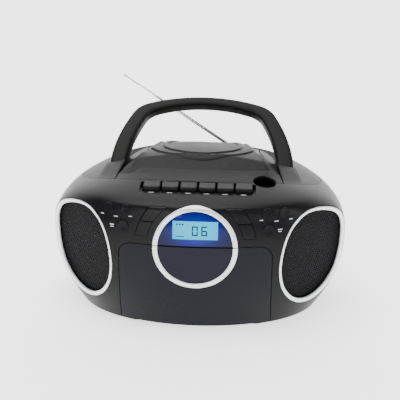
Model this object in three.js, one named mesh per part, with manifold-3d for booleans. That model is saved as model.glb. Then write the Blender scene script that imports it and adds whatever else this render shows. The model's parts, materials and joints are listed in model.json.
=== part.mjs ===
// A portable CD, cassette and radio player: an oval cabinet with two facet speakers, a swing handle
// and a telescopic aerial. Millimetres, +Z up, -Y is the front, the origin is under the middle.
import * as THREE from 'three';
import { mergeVertices } from 'three/addons/utils/BufferGeometryUtils.js';
import Module from 'manifold-3d';

const wasm = await Module();
wasm.setup();

// ---- driving dimensions -------------------------------------------------------------------------
const HALF_WIDTH = 167.2;      // of the cabinet, at its widest level
const WIDEST_Z = 92.5;         // the level where it is widest
const FRONT_DEPTH = 115;       // from the origin to the foremost skin
const REAR_DEPTH = 114.6;      // from the origin to the rearmost skin
const CROWN_Z = 168;           // highest point of the deck under the disc lid
const BASE_Z = 3;              // underside of the cabinet, above the feet
const WALL = 2.6;              // moulded shell thickness
const GAP = 0.4;               // between fixed pieces
const RUN = 0.8;               // between a moving piece and its surround

const LOW_REACH = 158;         // vertical radius of the side below the widest level
const DECK_MARGIN = 0.5;       // how far the shoulder curve aims above the crown
const FACE_LEVEL = 88;         // level where the front and rear faces stand furthest out
const FACE_DROP = 22;          // larger is a flatter face
const DECK_CURVE = 712;        // larger is a flatter deck
const DECK_CENTRE_Y = 10;
const EDGE_POWER = 24;         // larger is a sharper edge between face and deck
const REAR_POWER = 2.5;        // squareness of the plan behind the widest line

const SEAM_HALF_WIDTH = 139;   // plan of the top cover
const SEAM_FRONT = 68;         // from the deck centre to its front edge
const SEAM_REAR = 80;
const SPLIT_Y = 10;            // front and rear cabinets meet here

const FACET_TURN = 46.3;       // degrees that each speaker facet faces outward
const FACET_TILT = -4.8;       // and upward
const FACET_DISTANCE = 130.5;  // from the origin to the facet's plane

const RING_Z = 102.7;          // centre of the trim ring
const RING_OUTER = 46.8;
const RING_BAND = 5.4;
const DOOR_HALF_WIDTH = 84.2;
const DOOR_TOP = 104.8;
const DOOR_CORNER = 13;
const DOOR_OPEN_Y = -98;       // hinge line of the cassette door

const LID_REAR_Y = 70;
const LID_RISE = 8.6;          // of the dome above the deck
const LID_FLOOR_Z = 151;       // floor of the disc well
const DISC_Y = 8;              // spindle of the disc

const PIVOT_Y = 5.2;           // the handle's axis
const PIVOT_Z = 151.2;
const HANDLE_LEAN = 44;        // degrees behind upright at rest
const HANDLE_UPRIGHT = 24;     // swing forward from rest
const HANDLE_FOLDED = 34;      // swing back from rest
const HANDLE_DEPTH = 18;
const HANDLE_FOOT = 9;         // straight stretch of each arm above the axis
const HANDLE_ARCH = 85.7;      // from there to the top of the bar
const HANDLE_HALF_WIDTH = 106.5;
const ARM_WIDTH = 19.5;        // at the foot
const BAR_HEIGHT = 10.2;

const KEY_PITCH = 20.4;
const KEY_COUNT = 6;
const AERIAL_Y = 106.5;         // plane that the aerial turns in
const AERIAL_X = 72;
const AERIAL_Z = 124.2;
const AERIAL_ANGLE = 33.4;     // degrees above horizontal at rest
const FOOT_RADIUS = 8;

// ---- solids -------------------------------------------------------------------------------------
const rad = THREE.MathUtils.degToRad;
const X = new THREE.Vector3(1, 0, 0);
const Y = new THREE.Vector3(0, 1, 0);
const Z = new THREE.Vector3(0, 0, 1);

function solid(geometry) {
  const bare = geometry.clone();
  for (const name of Object.keys(bare.attributes)) if (name !== 'position') bare.deleteAttribute(name);
  const welded = mergeVertices(bare, 1e-4);
  const index = welded.index.array;
  const kept = [];
  for (let i = 0; i < index.length; i += 3) {
    const [a, b, c] = [index[i], index[i + 1], index[i + 2]];
    if (a !== b && b !== c && c !== a) kept.push(a, b, c);
  }
  return new wasm.Manifold(new wasm.Mesh({
    numProp: 3,
    vertProperties: Float32Array.from(welded.attributes.position.array),
    triVerts: Uint32Array.from(kept),
  }));
}

const join = (...parts) => parts.reduce((a, b) => a.add(b));
const cut = (from, ...tools) => tools.reduce((a, b) => a.subtract(b), from);

function toGeometry(body) {
  const mesh = body.getMesh();
  const geometry = new THREE.BufferGeometry();
  geometry.setAttribute('position', new THREE.BufferAttribute(Float32Array.from(mesh.vertProperties), 3));
  geometry.setIndex(new THREE.BufferAttribute(Uint32Array.from(mesh.triVerts), 1));
  return geometry;
}

// A closed solid through rings of points that all have the same count, with a flat cap at each end.
function loft(rings) {
  const count = rings[0].length;
  const points = rings.flat();
  const faces = [];
  for (let r = 0; r + 1 < rings.length; r++) {
    for (let i = 0; i < count; i++) {
      const a = r * count + i;
      const b = r * count + (i + 1) % count;
      faces.push(a, b, b + count, a, b + count, a + count);
    }
  }
  for (const [ring, first, up] of [[rings[0], 0, false], [rings.at(-1), points.length - count, true]]) {
    const centre = points.length;
    const middle = ring.reduce((sum, p) => sum.add(p), new THREE.Vector3()).divideScalar(count);
    points.push(middle);
    for (let i = 0; i < count; i++) {
      const a = first + i;
      const b = first + (i + 1) % count;
      faces.push(...(up ? [a, b, centre] : [b, a, centre]));
    }
  }
  const geometry = new THREE.BufferGeometry().setFromPoints(points);
  geometry.setIndex(faces);
  return geometry;
}

function box(x0, x1, y0, y1, z0, z1) {
  const geometry = new THREE.BoxGeometry(x1 - x0, y1 - y0, z1 - z0);
  return geometry.translate((x0 + x1) / 2, (y0 + y1) / 2, (z0 + z1) / 2);
}

function rod(radius, from, to, sides = 16, endRadius = radius) {
  const along = to.clone().sub(from);
  const geometry = new THREE.CylinderGeometry(endRadius, radius, along.length(), sides);
  const turn = new THREE.Quaternion().setFromUnitVectors(Y, along.clone().normalize());
  return geometry.applyQuaternion(turn).translate(...from.clone().lerp(to, 0.5).toArray());
}

const at = (x, y, z) => new THREE.Vector3(x, y, z);
const upright = (radius, x, y, z0, z1, sides) => rod(radius, at(x, y, z0), at(x, y, z1), sides);
const inward = (radius, x, z, y0, y1, sides) => rod(radius, at(x, y0, z), at(x, y1, z), sides);

// Extrudes an outline drawn in X and Z between two depths, or one drawn in X and Y between two levels.
function through(outline, y0, y1) {
  const shape = new THREE.Shape(outline);
  const geometry = new THREE.ExtrudeGeometry(shape, { depth: y1 - y0, bevelEnabled: false, steps: 1 });
  return geometry.rotateX(Math.PI / 2).translate(0, y1, 0);
}

function raised(outline, z0, z1) {
  const shape = new THREE.Shape(outline);
  const geometry = new THREE.ExtrudeGeometry(shape, { depth: z1 - z0, bevelEnabled: false, steps: 1 });
  return geometry.translate(0, 0, z0);
}

// A turned piece: profile points are radius and height along an axis that starts at a point.
function turned(profile, origin, axis, sides = 24) {
  const points = profile.map(([r, h]) => new THREE.Vector2(r, h));
  const geometry = new THREE.LatheGeometry(points, sides);
  const turn = new THREE.Quaternion().setFromUnitVectors(Y, axis.clone().normalize());
  return geometry.applyQuaternion(turn).translate(...origin.toArray());
}

function mirrored(geometry) {
  const copy = geometry.index ? geometry.clone() : mergeVertices(geometry);
  copy.scale(-1, 1, 1);
  const index = copy.index.array;
  for (let i = 0; i < index.length; i += 3) [index[i], index[i + 1]] = [index[i + 1], index[i]];
  return copy;
}

const sided = (geometry, side) => (side > 0 ? geometry : mirrored(geometry));
const SIDES = [['left', -1], ['right', 1]];

// ---- the cabinet's outer skin -------------------------------------------------------------------
const smooth = (a, b, x) => THREE.MathUtils.smoothstep(x, a, b);

// Half-width, front, rear, widest line and front squareness of the level z, all moved in by inset.
function level(z, inset = 0) {
  const above = Math.max(0, z - WIDEST_Z) / (CROWN_Z + DECK_MARGIN - WIDEST_Z - inset);
  const below = Math.max(0, WIDEST_Z - z) / LOW_REACH;
  const half = (HALF_WIDTH - inset) * Math.sqrt(Math.max(0, 1 - above ** 3 - below ** 2));
  const bow = ((z - FACE_LEVEL) / FACE_DROP) ** 2;
  const deck = Math.sqrt(DECK_CURVE * Math.max(0, CROWN_Z - inset - z));
  const soft = (a, b) => (a ** -EDGE_POWER + b ** -EDGE_POWER) ** (-1 / EDGE_POWER);
  const front = -soft(FRONT_DEPTH - inset - bow, Math.max(1, deck - DECK_CENTRE_Y));
  const rear = soft(REAR_DEPTH - inset - bow, Math.max(1, deck + DECK_CENTRE_Y));
  const wide = -5 - 25 * smooth(0, 110, z) + 22 * smooth(125, CROWN_Z, z);
  const power = 2 + 0.2 * smooth(10, 80, z) + 0.6 * smooth(130, 158, z);
  return { half, front, rear, wide, power };
}

// Where the front of the skin stands at a place across and up, and how high the deck is.
function frontAt(x, z, inset = 0) {
  const { half, front, wide, power } = level(z, inset);
  const reach = Math.max(0, 1 - (Math.abs(x) / half) ** power) ** (1 / power);
  return wide - (wide - front) * reach;
}

function outside(x, y, z, inset = 0) {
  const { half, front, rear, wide, power } = level(z, inset);
  const e = y < wide ? power : REAR_POWER;
  const reach = y < wide ? wide - front : rear - wide;
  return (Math.abs(x) / half) ** e + (Math.abs(y - wide) / reach) ** e > 1;
}

function bisect(low, high, isOut) {
  for (let i = 0; i < 40; i++) {
    const middle = (low + high) / 2;
    if (isOut(middle)) high = middle;
    else low = middle;
  }
  return low;
}

const deckAt = (x, y) => bisect(WIDEST_Z, CROWN_Z - 0.01, (z) => outside(x, y, z));

const AROUND = 36;
const LEVELS = 12;

function skin(inset) {
  const low = BASE_Z + Math.max(0, inset);
  const high = CROWN_Z - inset - 0.4;
  const rings = [];
  for (let j = 0; j <= LEVELS; j++) {
    const z = low + (high - low) * Math.sin((Math.PI / 2) * (j / LEVELS));
    const { half, front, rear, wide, power } = level(z, inset);
    rings.push(Array.from({ length: AROUND }, (_, i) => {
      const t = (2 * Math.PI * i) / AROUND;
      const [c, s] = [Math.cos(t), Math.sin(t)];
      const e = s < 0 ? power : REAR_POWER;
      const reach = s < 0 ? wide - front : rear - wide;
      const x = half * Math.sign(c) * Math.abs(c) ** (2 / e);
      return at(x, wide + reach * Math.sign(s) * Math.abs(s) ** (2 / e), z);
    }));
  }
  return solid(loft(rings));
}

// ---- speaker facets -----------------------------------------------------------------------------
const facetOut = at(
  Math.sin(rad(FACET_TURN)) * Math.cos(rad(FACET_TILT)),
  -Math.cos(rad(FACET_TURN)) * Math.cos(rad(FACET_TILT)),
  Math.sin(rad(FACET_TILT)),
);
const facetAcross = at(Math.cos(rad(FACET_TURN)), Math.sin(rad(FACET_TURN)), 0);
const facetUp = facetOut.clone().cross(facetAcross);
if (facetUp.z < 0) facetUp.negate();
const FACET_MIDDLE = at(130, -63.5, 82);   // a point near the middle of the right facet
const facetCentre = FACET_MIDDLE.clone().addScaledVector(facetOut,
  FACET_DISTANCE - FACET_MIDDLE.dot(facetOut));

// The facet's oval edge, moved in by inset, as points across and up from its centre.
function facetOval(inset, count = 32) {
  return Array.from({ length: count }, (_, i) => {
    const t = (2 * Math.PI * i) / count;
    const [c, s] = [Math.cos(t), Math.sin(t)];
    const reach = bisect(0, 120, (r) => {
      const p = facetCentre.clone().addScaledVector(facetAcross, r * c).addScaledVector(facetUp, r * s);
      return p.z < BASE_Z || p.z > CROWN_Z || outside(p.x, p.y, p.z);
    });
    return new THREE.Vector2((reach - inset) * c, (reach - inset) * s);
  });
}

// Extrudes an outline on the right facet between two heights above it.
const facetFrame = new THREE.Matrix4().makeBasis(facetAcross, facetUp, facetOut).setPosition(facetCentre);
const facetHanded = facetAcross.clone().cross(facetUp).dot(facetOut) > 0;

function onFacet(outline, low, high) {
  const geometry = new THREE.ExtrudeGeometry(new THREE.Shape(outline), {
    depth: high - low, bevelEnabled: false, steps: 1,
  }).translate(0, 0, low);
  if (facetHanded) return geometry.applyMatrix4(facetFrame);
  return mirrored(geometry).scale(-1, 1, 1).applyMatrix4(facetFrame);
}

function facetPoint(height, across = 0, up = 0) {
  return facetCentre.clone().addScaledVector(facetOut, height)
    .addScaledVector(facetAcross, across).addScaledVector(facetUp, up);
}

const bothSides = (geometry) => join(solid(geometry), solid(mirrored(geometry)));
const facetSquare = [[-90, -90], [90, -90], [90, 90], [-90, 90]].map(([a, b]) => new THREE.Vector2(a, b));
const beyondFacets = (inset) => bothSides(onFacet(facetSquare, -inset, 60));

// ---- outlines -----------------------------------------------------------------------------------
const v2 = (x, y) => new THREE.Vector2(x, y);

const seamFront = (x) => DECK_CENTRE_Y
  - SEAM_FRONT * Math.sqrt(Math.max(0, 1 - (Math.abs(x) / SEAM_HALF_WIDTH) ** 3));

// Plan of the top cover: a flattened oval, moved out by grow.
function coverPlan(grow) {
  return Array.from({ length: 48 }, (_, i) => {
    const t = (2 * Math.PI * i) / 48;
    const [c, s] = [Math.cos(t), Math.sin(t)];
    const reach = (s < 0 ? SEAM_FRONT : SEAM_REAR) + grow;
    return v2((SEAM_HALF_WIDTH + grow) * Math.sign(c) * Math.abs(c) ** (2 / 3), DECK_CENTRE_Y + reach * s);
  });
}

function doorOutline(grow) {
  const shape = new THREE.Shape();
  const [w, top, r] = [DOOR_HALF_WIDTH + grow, DOOR_TOP + grow, DOOR_CORNER + grow];
  shape.moveTo(-w, -20);
  shape.lineTo(w, -20);
  shape.lineTo(w, top - r);
  shape.absarc(w - r, top - r, r, 0, Math.PI / 2);
  shape.absarc(-w + r, top - r, r, Math.PI / 2, Math.PI);
  return shape.getPoints(6);
}

// Half-width of the disc lid at a depth: it follows the hinge covers, then clears the folded handle.
const LID_WAIST_Y = 8;
const LID_FRONT_HALF = 94.5;
const LID_WAIST_HALF = 85.6;
const LID_NECK_Y = 21;         // from here back the open lid passes between the handle's arms
const LID_NECK_HALF = 75;
const LID_REAR_HALF = 66;

function lidHalf(y) {
  const start = seamFront(LID_FRONT_HALF);
  if (y < LID_WAIST_Y) return THREE.MathUtils.mapLinear(y, start, LID_WAIST_Y, LID_FRONT_HALF,
    LID_WAIST_HALF);
  if (y < LID_NECK_Y) return THREE.MathUtils.mapLinear(y, LID_WAIST_Y, LID_NECK_Y, LID_WAIST_HALF,
    LID_NECK_HALF);
  return THREE.MathUtils.lerp(LID_NECK_HALF, LID_REAR_HALF, smooth(LID_NECK_Y, LID_REAR_Y - 15, y));
}

// The lid's plan from u = -1..1 across and v = 0..1 from front to rear.
function lidPlace(u, v, shrink) {
  const rear = LID_REAR_Y - shrink;
  let x = u * LID_FRONT_HALF;
  let y = THREE.MathUtils.lerp(seamFront(x) + shrink, rear, v);
  x = u * (lidHalf(Math.min(y, rear)) - shrink);
  y = THREE.MathUtils.lerp(seamFront(x) + shrink, rear, v);
  return v2(x, y);
}

function lidPlan(shrink, steps = 9) {
  const edge = Array.from({ length: steps }, (_, i) => i / steps);
  return [
    ...edge.map((t) => lidPlace(2 * t - 1, 0, shrink)),
    ...edge.map((t) => lidPlace(1, t, shrink)),
    ...edge.map((t) => lidPlace(1 - 2 * t, 1, shrink)),
    ...edge.map((t) => lidPlace(-1, 1 - t, shrink)),
  ];
}

// Height of the lid: the deck, and a dome that rises inside its rim.
const DOME_FRONT_Y = -14;
const DOME_RIM = 15;
function lidTop(x, y) {
  const side = smooth(0, DOME_RIM, lidHalf(y) - 2 - Math.abs(x));
  const front = smooth(DOME_FRONT_Y - 4 - DOME_RIM * 0.6, DOME_FRONT_Y + DOME_RIM * 0.5,
    y + 0.0012 * x * x);
  const rear = 1 - smooth(LID_REAR_Y - 24, LID_REAR_Y + 6, y);
  return deckAt(x, y) + LID_RISE * side * front * rear;
}

// ---- handle -------------------------------------------------------------------------------------
const FOOT_RISE = HANDLE_DEPTH / 2;
const lean = (degrees) => ({
  up: at(0, Math.sin(rad(degrees)), Math.cos(rad(degrees))),
  out: at(0, -Math.cos(rad(degrees)), Math.sin(rad(degrees))),
});

// Places geometry drawn with X across, Y along the arms and Z out of the front face.
function onHandle(geometry, degrees) {
  const { up, out } = lean(degrees);
  return geometry.applyMatrix4(new THREE.Matrix4().makeBasis(X, up, out).setPosition(0, PIVOT_Y, PIVOT_Z));
}

const ARM_INNER = HANDLE_HALF_WIDTH - ARM_WIDTH;

// Right half of an arch: up the arm, round the corner and along the bar to the middle.
function archCurve(half, height, steps) {
  const path = new THREE.Path();
  const above = (share) => HANDLE_FOOT + height * share;
  path.moveTo(half, 0);
  path.lineTo(half, HANDLE_FOOT);
  path.quadraticCurveTo(half - 3, above(0.37), half * 0.79, above(0.735));
  path.quadraticCurveTo(half * 0.747, above(0.83), half * 0.64, above(0.882));
  path.quadraticCurveTo(half * 0.34, above(1), 0, above(1));
  return path.getPoints(steps);
}

// The whole arch, grown all round, as a slab on the handle's middle plane.
function handleArch(grow, steps) {
  const outerCurve = archCurve(HANDLE_HALF_WIDTH + grow, HANDLE_ARCH + grow, steps);
  const innerCurve = archCurve(ARM_INNER - grow, HANDLE_ARCH - BAR_HEIGHT - grow, steps);
  const left = (points) => points.map((p) => v2(-p.x, p.y));
  const outline = [...outerCurve, ...left(outerCurve).reverse().slice(1),
    ...left(innerCurve), ...innerCurve.slice(0, -1).reverse()];
  return new THREE.ExtrudeGeometry(new THREE.Shape(outline), {
    depth: HANDLE_DEPTH + 2 * grow, bevelEnabled: false, steps: 1,
  }).translate(0, 0, -HANDLE_DEPTH / 2 - grow);
}

function handleBody() {
  const arch = handleArch(0, 6);
  const knuckle = rod(FOOT_RISE, at(ARM_INNER, PIVOT_Y, PIVOT_Z), at(HANDLE_HALF_WIDTH, PIVOT_Y, PIVOT_Z));
  const bore = rod(PIN_RADIUS + GAP, at(ARM_INNER - 1, PIVOT_Y, PIVOT_Z),
    at(HANDLE_HALF_WIDTH + 1, PIVOT_Y, PIVOT_Z), 16);
  return cut(join(solid(onHandle(arch, HANDLE_LEAN)), bothSides(knuckle)), bothSides(bore));
}

// The room that the handle's feet sweep through, with a clearance.
function handleSweep(grow) {
  const room = [];
  const clear = RUN + grow;
  const swings = 5;
  for (let i = 0; i <= swings; i++) {
    const angle = HANDLE_LEAN - HANDLE_UPRIGHT + ((HANDLE_UPRIGHT + HANDLE_FOLDED) * i) / swings;
    room.push(solid(onHandle(handleArch(clear, 3), angle)));
  }
  const knuckle = rod(FOOT_RISE + clear, at(ARM_INNER - clear, PIVOT_Y, PIVOT_Z),
    at(HANDLE_HALF_WIDTH + clear, PIVOT_Y, PIVOT_Z));
  return join(...room, bothSides(knuckle));
}

const PIN_RADIUS = 3;
const PIN_REACH = 2.4;         // how far each pin enters the shoulder's wall beside the arm

// Raised pads in front of the handle's feet, which cover its hinge.
const PAD_RISE = 6;
function hingePad() {
  const front = [LID_FRONT_HALF + RUN, SEAM_HALF_WIDTH * 0.85];
  const rear = [LID_WAIST_HALF + RUN, HANDLE_HALF_WIDTH];
  const steps = 5;
  const rings = Array.from({ length: steps + 1 }, (_, i) => {
    const t = i / steps;
    const [x0, x1] = [THREE.MathUtils.lerp(front[0], rear[0], t), THREE.MathUtils.lerp(front[1],
      rear[1], t)];
    const yAt = (x) => THREE.MathUtils.lerp(seamFront(x) + GAP, PIVOT_Y + 2, t);
    const rise = PAD_RISE * smooth(0, 1, t);
    const topOf = (x) => deckAt(x, yAt(x)) + rise;
    return [at(x0, yAt(x0), 146), at(x0, yAt(x0), topOf(x0) - 0.4), at(x1, yAt(x1), topOf(x1) - 0.4),
      at(x1, yAt(x1), 140)];
  });
  return loft(rings);
}

// ---- controls -----------------------------------------------------------------------------------
const ROUND_BUTTONS = [          // name, distance from the middle, level and radius, both sides alike
  ['outer', 96, 140.5, 5.3],
  ['inner', 77.5, 141.5, 5.3],
  ['lower', 80, 123.4, 6.6],
];
const BUTTON_PROUD = 1;
const SECTOR_INNER = 54.2;
const SECTOR_OUTER = 67.4;
const SECTOR_LEVELS = [114.6, 131, 147.2];   // bottom, divide and top of the two sector buttons

function sectorOutline(low, high, grow) {
  const points = [];
  const angleAt = (radius, z) => Math.asin((z - RING_Z) / radius);
  const steps = 6;
  for (const [radius, from, to] of [
    [SECTOR_OUTER + grow, low - grow, high + grow], [SECTOR_INNER - grow, high + grow, low - grow]]) {
    const [a, b] = [angleAt(radius, from), angleAt(radius, to)];
    for (let i = 0; i <= steps; i++) {
      const t = THREE.MathUtils.lerp(a, b, i / steps);
      points.push(v2(radius * Math.cos(t), RING_Z + radius * Math.sin(t)));
    }
  }
  return points;
}

// ---- forms --------------------------------------------------------------------------------------
const KEY_ROW = KEY_PITCH * KEY_COUNT;
const KEY_FRONT = -75.5;
const KEY_BACK = -60;
const TROUGH_Z = 154.6;
const BAY = { x: 76, y0: 18, y1: 74, z: 33 };
const COVER_SLIDE = 8;
const COVER_LIP = 3.6;
const COVER_THICK = 2.4;

// A bowl in front of the lid's edge, so that a finger can lift it.
const scoop = (grow) => solid(new THREE.SphereGeometry(1, 16, 8)
  .scale(13.5 + grow, 14 + grow, 9 + grow).translate(74, -50, 161));

// Every hollow that is pressed into the outside, each grown so that a wall is left around it.
function hollows(grow) {
  return join(
    beyondFacets(grow),
    solid(raised(lidPlan(-RUN - grow), LID_FLOOR_Z - grow, CROWN_Z + 20)),
    handleSweep(grow),
    solid(box(-LID_REAR_HALF - RUN - grow, LID_REAR_HALF + RUN + grow, LID_REAR_Y - 6,
      LID_REAR_Y + 7 + grow, LID_FLOOR_Z - grow, CROWN_Z + 20)),
    solid(box(-98 - grow, 98 + grow, AERIAL_Y - 3.5 - grow, REAR_DEPTH + 20, AERIAL_Z - 6 - grow,
      CROWN_Z + 20)),
    solid(box(-BAY.x - grow, BAY.x + grow, BAY.y0 - grow, BAY.y1 + grow, -20, BAY.z + grow)),
    solid(box(-BAY.x - COVER_LIP - grow, BAY.x + COVER_LIP + grow, BAY.y0 - COVER_LIP - grow,
      BAY.y1 + COVER_LIP + COVER_SLIDE + grow, -20, BASE_Z + COVER_THICK + GAP + grow)),
    solid(box(-KEY_ROW / 2 - 3 - grow, KEY_ROW / 2 + 3 + grow, -92, KEY_BACK + RUN, TROUGH_Z - grow,
      CROWN_Z + 20)),
    scoop(grow),
  );
}

const outer = skin(0);
const outerForm = cut(join(outer, bothSides(hingePad()).intersect(solid(raised(coverPlan(-GAP), 100,
  220)))),
  hollows(0));
const innerForm = cut(skin(WALL), hollows(WALL));
const shell = cut(outerForm, innerForm);
const band = (from, to) => cut(skin(from), skin(to));

const coverRoom = (grow) => solid(raised(coverPlan(grow), 130, 220));
const doorRoom = (grow) => solid(through(doorOutline(grow), -140, -40));
const underFloor = solid(box(-250, 250, DOOR_OPEN_Y + 11, 250, -50, BASE_Z + WALL));
const ringDisc = (radius, z0, z1) => solid(inward(radius, 0, RING_Z, -140, -60, 40))
  .intersect(solid(box(-90, 90, -140, -60, z0, z1)));

// ---- nodes --------------------------------------------------------------------------------------
const model = new THREE.Group();

function material(color, roughness, metalness = 0) {
  return new THREE.MeshStandardMaterial({ color, roughness, metalness });
}

const MATERIALS = {
  cabinet: material(0x2c2d31, 0.42),
  dark: material(0x1c1d20, 0.5),
  handle: material(0x2a2b2b, 0.5),
  silver: material(0xd6d8da, 0.3, 0.4),
  grille: material(0x1d1f21, 0.55, 0.3),
  chrome: material(0xd9dadd, 0.12, 1),
  steel: material(0xa8abae, 0.35, 0.9),
  lens: material(0x10163a, 0.08),
  screen: material(0x74e8f7, 0.3),
  inlay: material(0x30334a, 0.35),
  rubber: material(0x1a1a1a, 0.85),
  board: material(0x2f6b3c, 0.6),
  copper: material(0x9a6a3a, 0.4, 0.6),
  white: material(0xd8d6ce, 0.5),
};

function add(name, body, finish, parent = model) {
  const mesh = new THREE.Mesh(toGeometry(body), MATERIALS[finish].clone());
  mesh.name = name;
  parent.add(mesh);
  return mesh;
}

// The shells.
const frontHalf = solid(box(-250, 250, -250, SPLIT_Y - GAP / 2, -50, 250));
const rearHalf = solid(box(-250, 250, SPLIT_Y + GAP / 2, 250, -50, 250));
const roundHole = ([, x, z, r], side, grow) => solid(inward(r + grow, side * x, z, -140, -70, 18));
const sectorHole = (low, high, side, grow) =>
  solid(sided(through(sectorOutline(low, high, grow), -140, -80), side));
const [sectorLow, sectorDivide, sectorHigh] = SECTOR_LEVELS;
const sectorRows = [['lower', sectorLow, sectorDivide - GAP], ['upper', sectorDivide + GAP, sectorHigh]];

const buttonHoles = SIDES.flatMap(([, side]) => [
  ...ROUND_BUTTONS.map((button) => roundHole(button, side, GAP)),
  sectorHole(sectorLow, sectorHigh, side, GAP),
]);
const speakerHole = (inset) => bothSides(onFacet(facetOval(inset), -30, 30));
const keySlot = solid(box(-KEY_ROW / 2 - GAP, KEY_ROW / 2 + GAP, KEY_FRONT - RUN, KEY_BACK + RUN, 120,
  200));
const windowRim = cut(band(2, 5).intersect(ringDisc(RING_OUTER + 3.2, DOOR_TOP + 1.4, 200)),
  band(-2, 3).intersect(ringDisc(RING_OUTER + GAP, 0, 200)),
  ringDisc(RING_OUTER - RING_BAND + 0.8, 0, 200));

add('front_cabinet', cut(
  join(cut(shell.intersect(frontHalf), coverRoom(GAP / 2), cut(doorRoom(RUN), underFloor), speakerHole(1),
    ringDisc(RING_OUTER + GAP, DOOR_TOP - 5, 200)), windowRim),
  keySlot, ...buttonHoles), 'cabinet');

const aerialHole = solid(inward(7.4, AERIAL_X, AERIAL_Z, 80, 140, 24));
const INLET = { x: -60, z: 30, half: 11, rise: 8 };
const inletHole = solid(box(INLET.x - INLET.half - GAP, INLET.x + INLET.half + GAP, 84, 140,
  INLET.z - INLET.rise - GAP, INLET.z + INLET.rise + GAP));
const bayRim = solid(box(-BAY.x, BAY.x, BAY.y0, BAY.y1, -20, BAY.z));
add('rear_cabinet', cut(shell.intersect(rearHalf), coverRoom(GAP / 2), aerialHole, inletHole, bayRim),
  'cabinet');

const hubHole = solid(upright(17, 0, DISC_Y, 120, 200, 24));
const sledSlot = solid(box(-12, 12, DISC_Y - 62, DISC_Y - 10, 120, 200));
const pinHoles = bothSides(rod(PIN_RADIUS + GAP, at(ARM_INNER + 1, PIVOT_Y, PIVOT_Z),
  at(HANDLE_HALF_WIDTH + RUN + PIN_REACH + GAP, PIVOT_Y, PIVOT_Z), 16));
add('top_cabinet', cut(shell.intersect(coverRoom(-GAP / 2)), hubHole, sledSlot, pinHoles), 'cabinet');

const coverY = BAY.y0 - COVER_LIP + GAP;
add('battery_cover', join(
  solid(box(-BAY.x - COVER_LIP + GAP, BAY.x + COVER_LIP - GAP, coverY, BAY.y1 + COVER_LIP - GAP,
    BASE_Z, BASE_Z + COVER_THICK)),
  ...[-4, 0, 4].map((step) => solid(box(-14, 14, 40 + step, 41.4 + step, BASE_Z - 0.8, BASE_Z + 1)))),
    'dark');

const FEET = [['front', 85, -52], ['rear', 92, 66]];
for (const [end, x, y] of FEET) {
  for (const [hand, side] of SIDES) {
    add(`foot_${end}_${hand}`, solid(turned(
      [[0, 0], [FOOT_RADIUS - 1, 0], [FOOT_RADIUS, 1], [FOOT_RADIUS, BASE_Z - 0.3], [0, BASE_Z - 0.3]],
      at(side * x, y, 0), Z, 14)), 'rubber');
  }
}

// Display.
const ringInner = RING_OUTER - RING_BAND;
const ringBand = (z0, z1) => cut(band(-1.2, 2.7).intersect(ringDisc(RING_OUTER, z0, z1)),
  ringDisc(ringInner, 0, 200));
add('ring_upper', ringBand(DOOR_TOP + 0.6, 200), 'silver');
add('display_window', band(0.4, 2.6).intersect(ringDisc(ringInner - 0.35, DOOR_TOP + 0.8, 200)), 'lens');
const SCREEN_LIFT = 8.6;         // from the door's top edge to the screen
const screenReach = ringInner + 0.3;  // the screen's upper corners stay inside the ring's bore
const SCREEN = { y: -106.2, rim: 1.6, z0: DOOR_TOP + SCREEN_LIFT };
SCREEN.half = screenReach * 0.633 - SCREEN.rim;
SCREEN.z1 = RING_Z + screenReach * 0.7745 - SCREEN.rim;
add('display_module', join(
  solid(box(-SCREEN.half - SCREEN.rim, SCREEN.half + SCREEN.rim, SCREEN.y, SCREEN.y + 6,
    SCREEN.z0 - SCREEN.rim, SCREEN.z1 + SCREEN.rim)),
  solid(box(-SCREEN.half, SCREEN.half, SCREEN.y - 0.5, SCREEN.y + 1, SCREEN.z0, SCREEN.z1))), 'screen');

// Cassette door: skin, holder rails for the cassette and a backing for the ring's lower half.
const CASSETTE = { half: 51, y0: -107, y1: -86.4, z0: 24, z1: 88 };
const rail = solid(box(CASSETTE.half, CASSETTE.half + 2, CASSETTE.y0 - 8, CASSETTE.y1, CASSETTE.z0,
  CASSETTE.z1));
const railLip = solid(box(CASSETTE.half - 5, CASSETTE.half + 2, CASSETTE.y1 - 1.6, CASSETTE.y1,
  CASSETTE.z0, CASSETTE.z1));
const mirrorBody = (geometry) => solid(mirrored(geometry));
const rails = join(rail, railLip,
  mirrorBody(box(CASSETTE.half, CASSETTE.half + 2, CASSETTE.y0 - 8, CASSETTE.y1, CASSETTE.z0, CASSETTE.z1)),
  mirrorBody(box(CASSETTE.half - 5, CASSETTE.half + 2, CASSETTE.y1 - 1.6, CASSETTE.y1, CASSETTE.z0,
    CASSETTE.z1)),
  solid(box(-CASSETTE.half - 2, -34, CASSETTE.y0 - 8, CASSETTE.y1, CASSETTE.z0 - 2, CASSETTE.z0)),
  solid(box(34, CASSETTE.half + 2, CASSETTE.y0 - 8, CASSETTE.y1, CASSETTE.z0 - 2, CASSETTE.z0)));
const doorSkin = shell.intersect(doorRoom(0)).intersect(solid(box(-250, 250, -250, -60, BASE_Z + 1.5,
  250)));
const doorFloor = solid(box(-250, 250, DOOR_OPEN_Y + 9, 250, -50, BASE_Z + WALL + 1));
const backing = cut(band(2, 5).intersect(ringDisc(RING_OUTER + 3.2, 0, DOOR_TOP)),
  band(-2, 3).intersect(ringDisc(RING_OUTER + GAP, 0, 200)));
add('cassette_door', join(
  cut(doorSkin, band(-2, 3).intersect(ringDisc(RING_OUTER + GAP, 0, 200)), doorFloor),
  backing, rails.intersect(skin(WALL - 0.5))), 'cabinet');
add('ring_lower', ringBand(0, DOOR_TOP - 0.6), 'silver');
add('door_inlay', band(0.4, 2.6).intersect(ringDisc(ringInner - 0.35, 0, DOOR_TOP - 0.8)), 'inlay');

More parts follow.
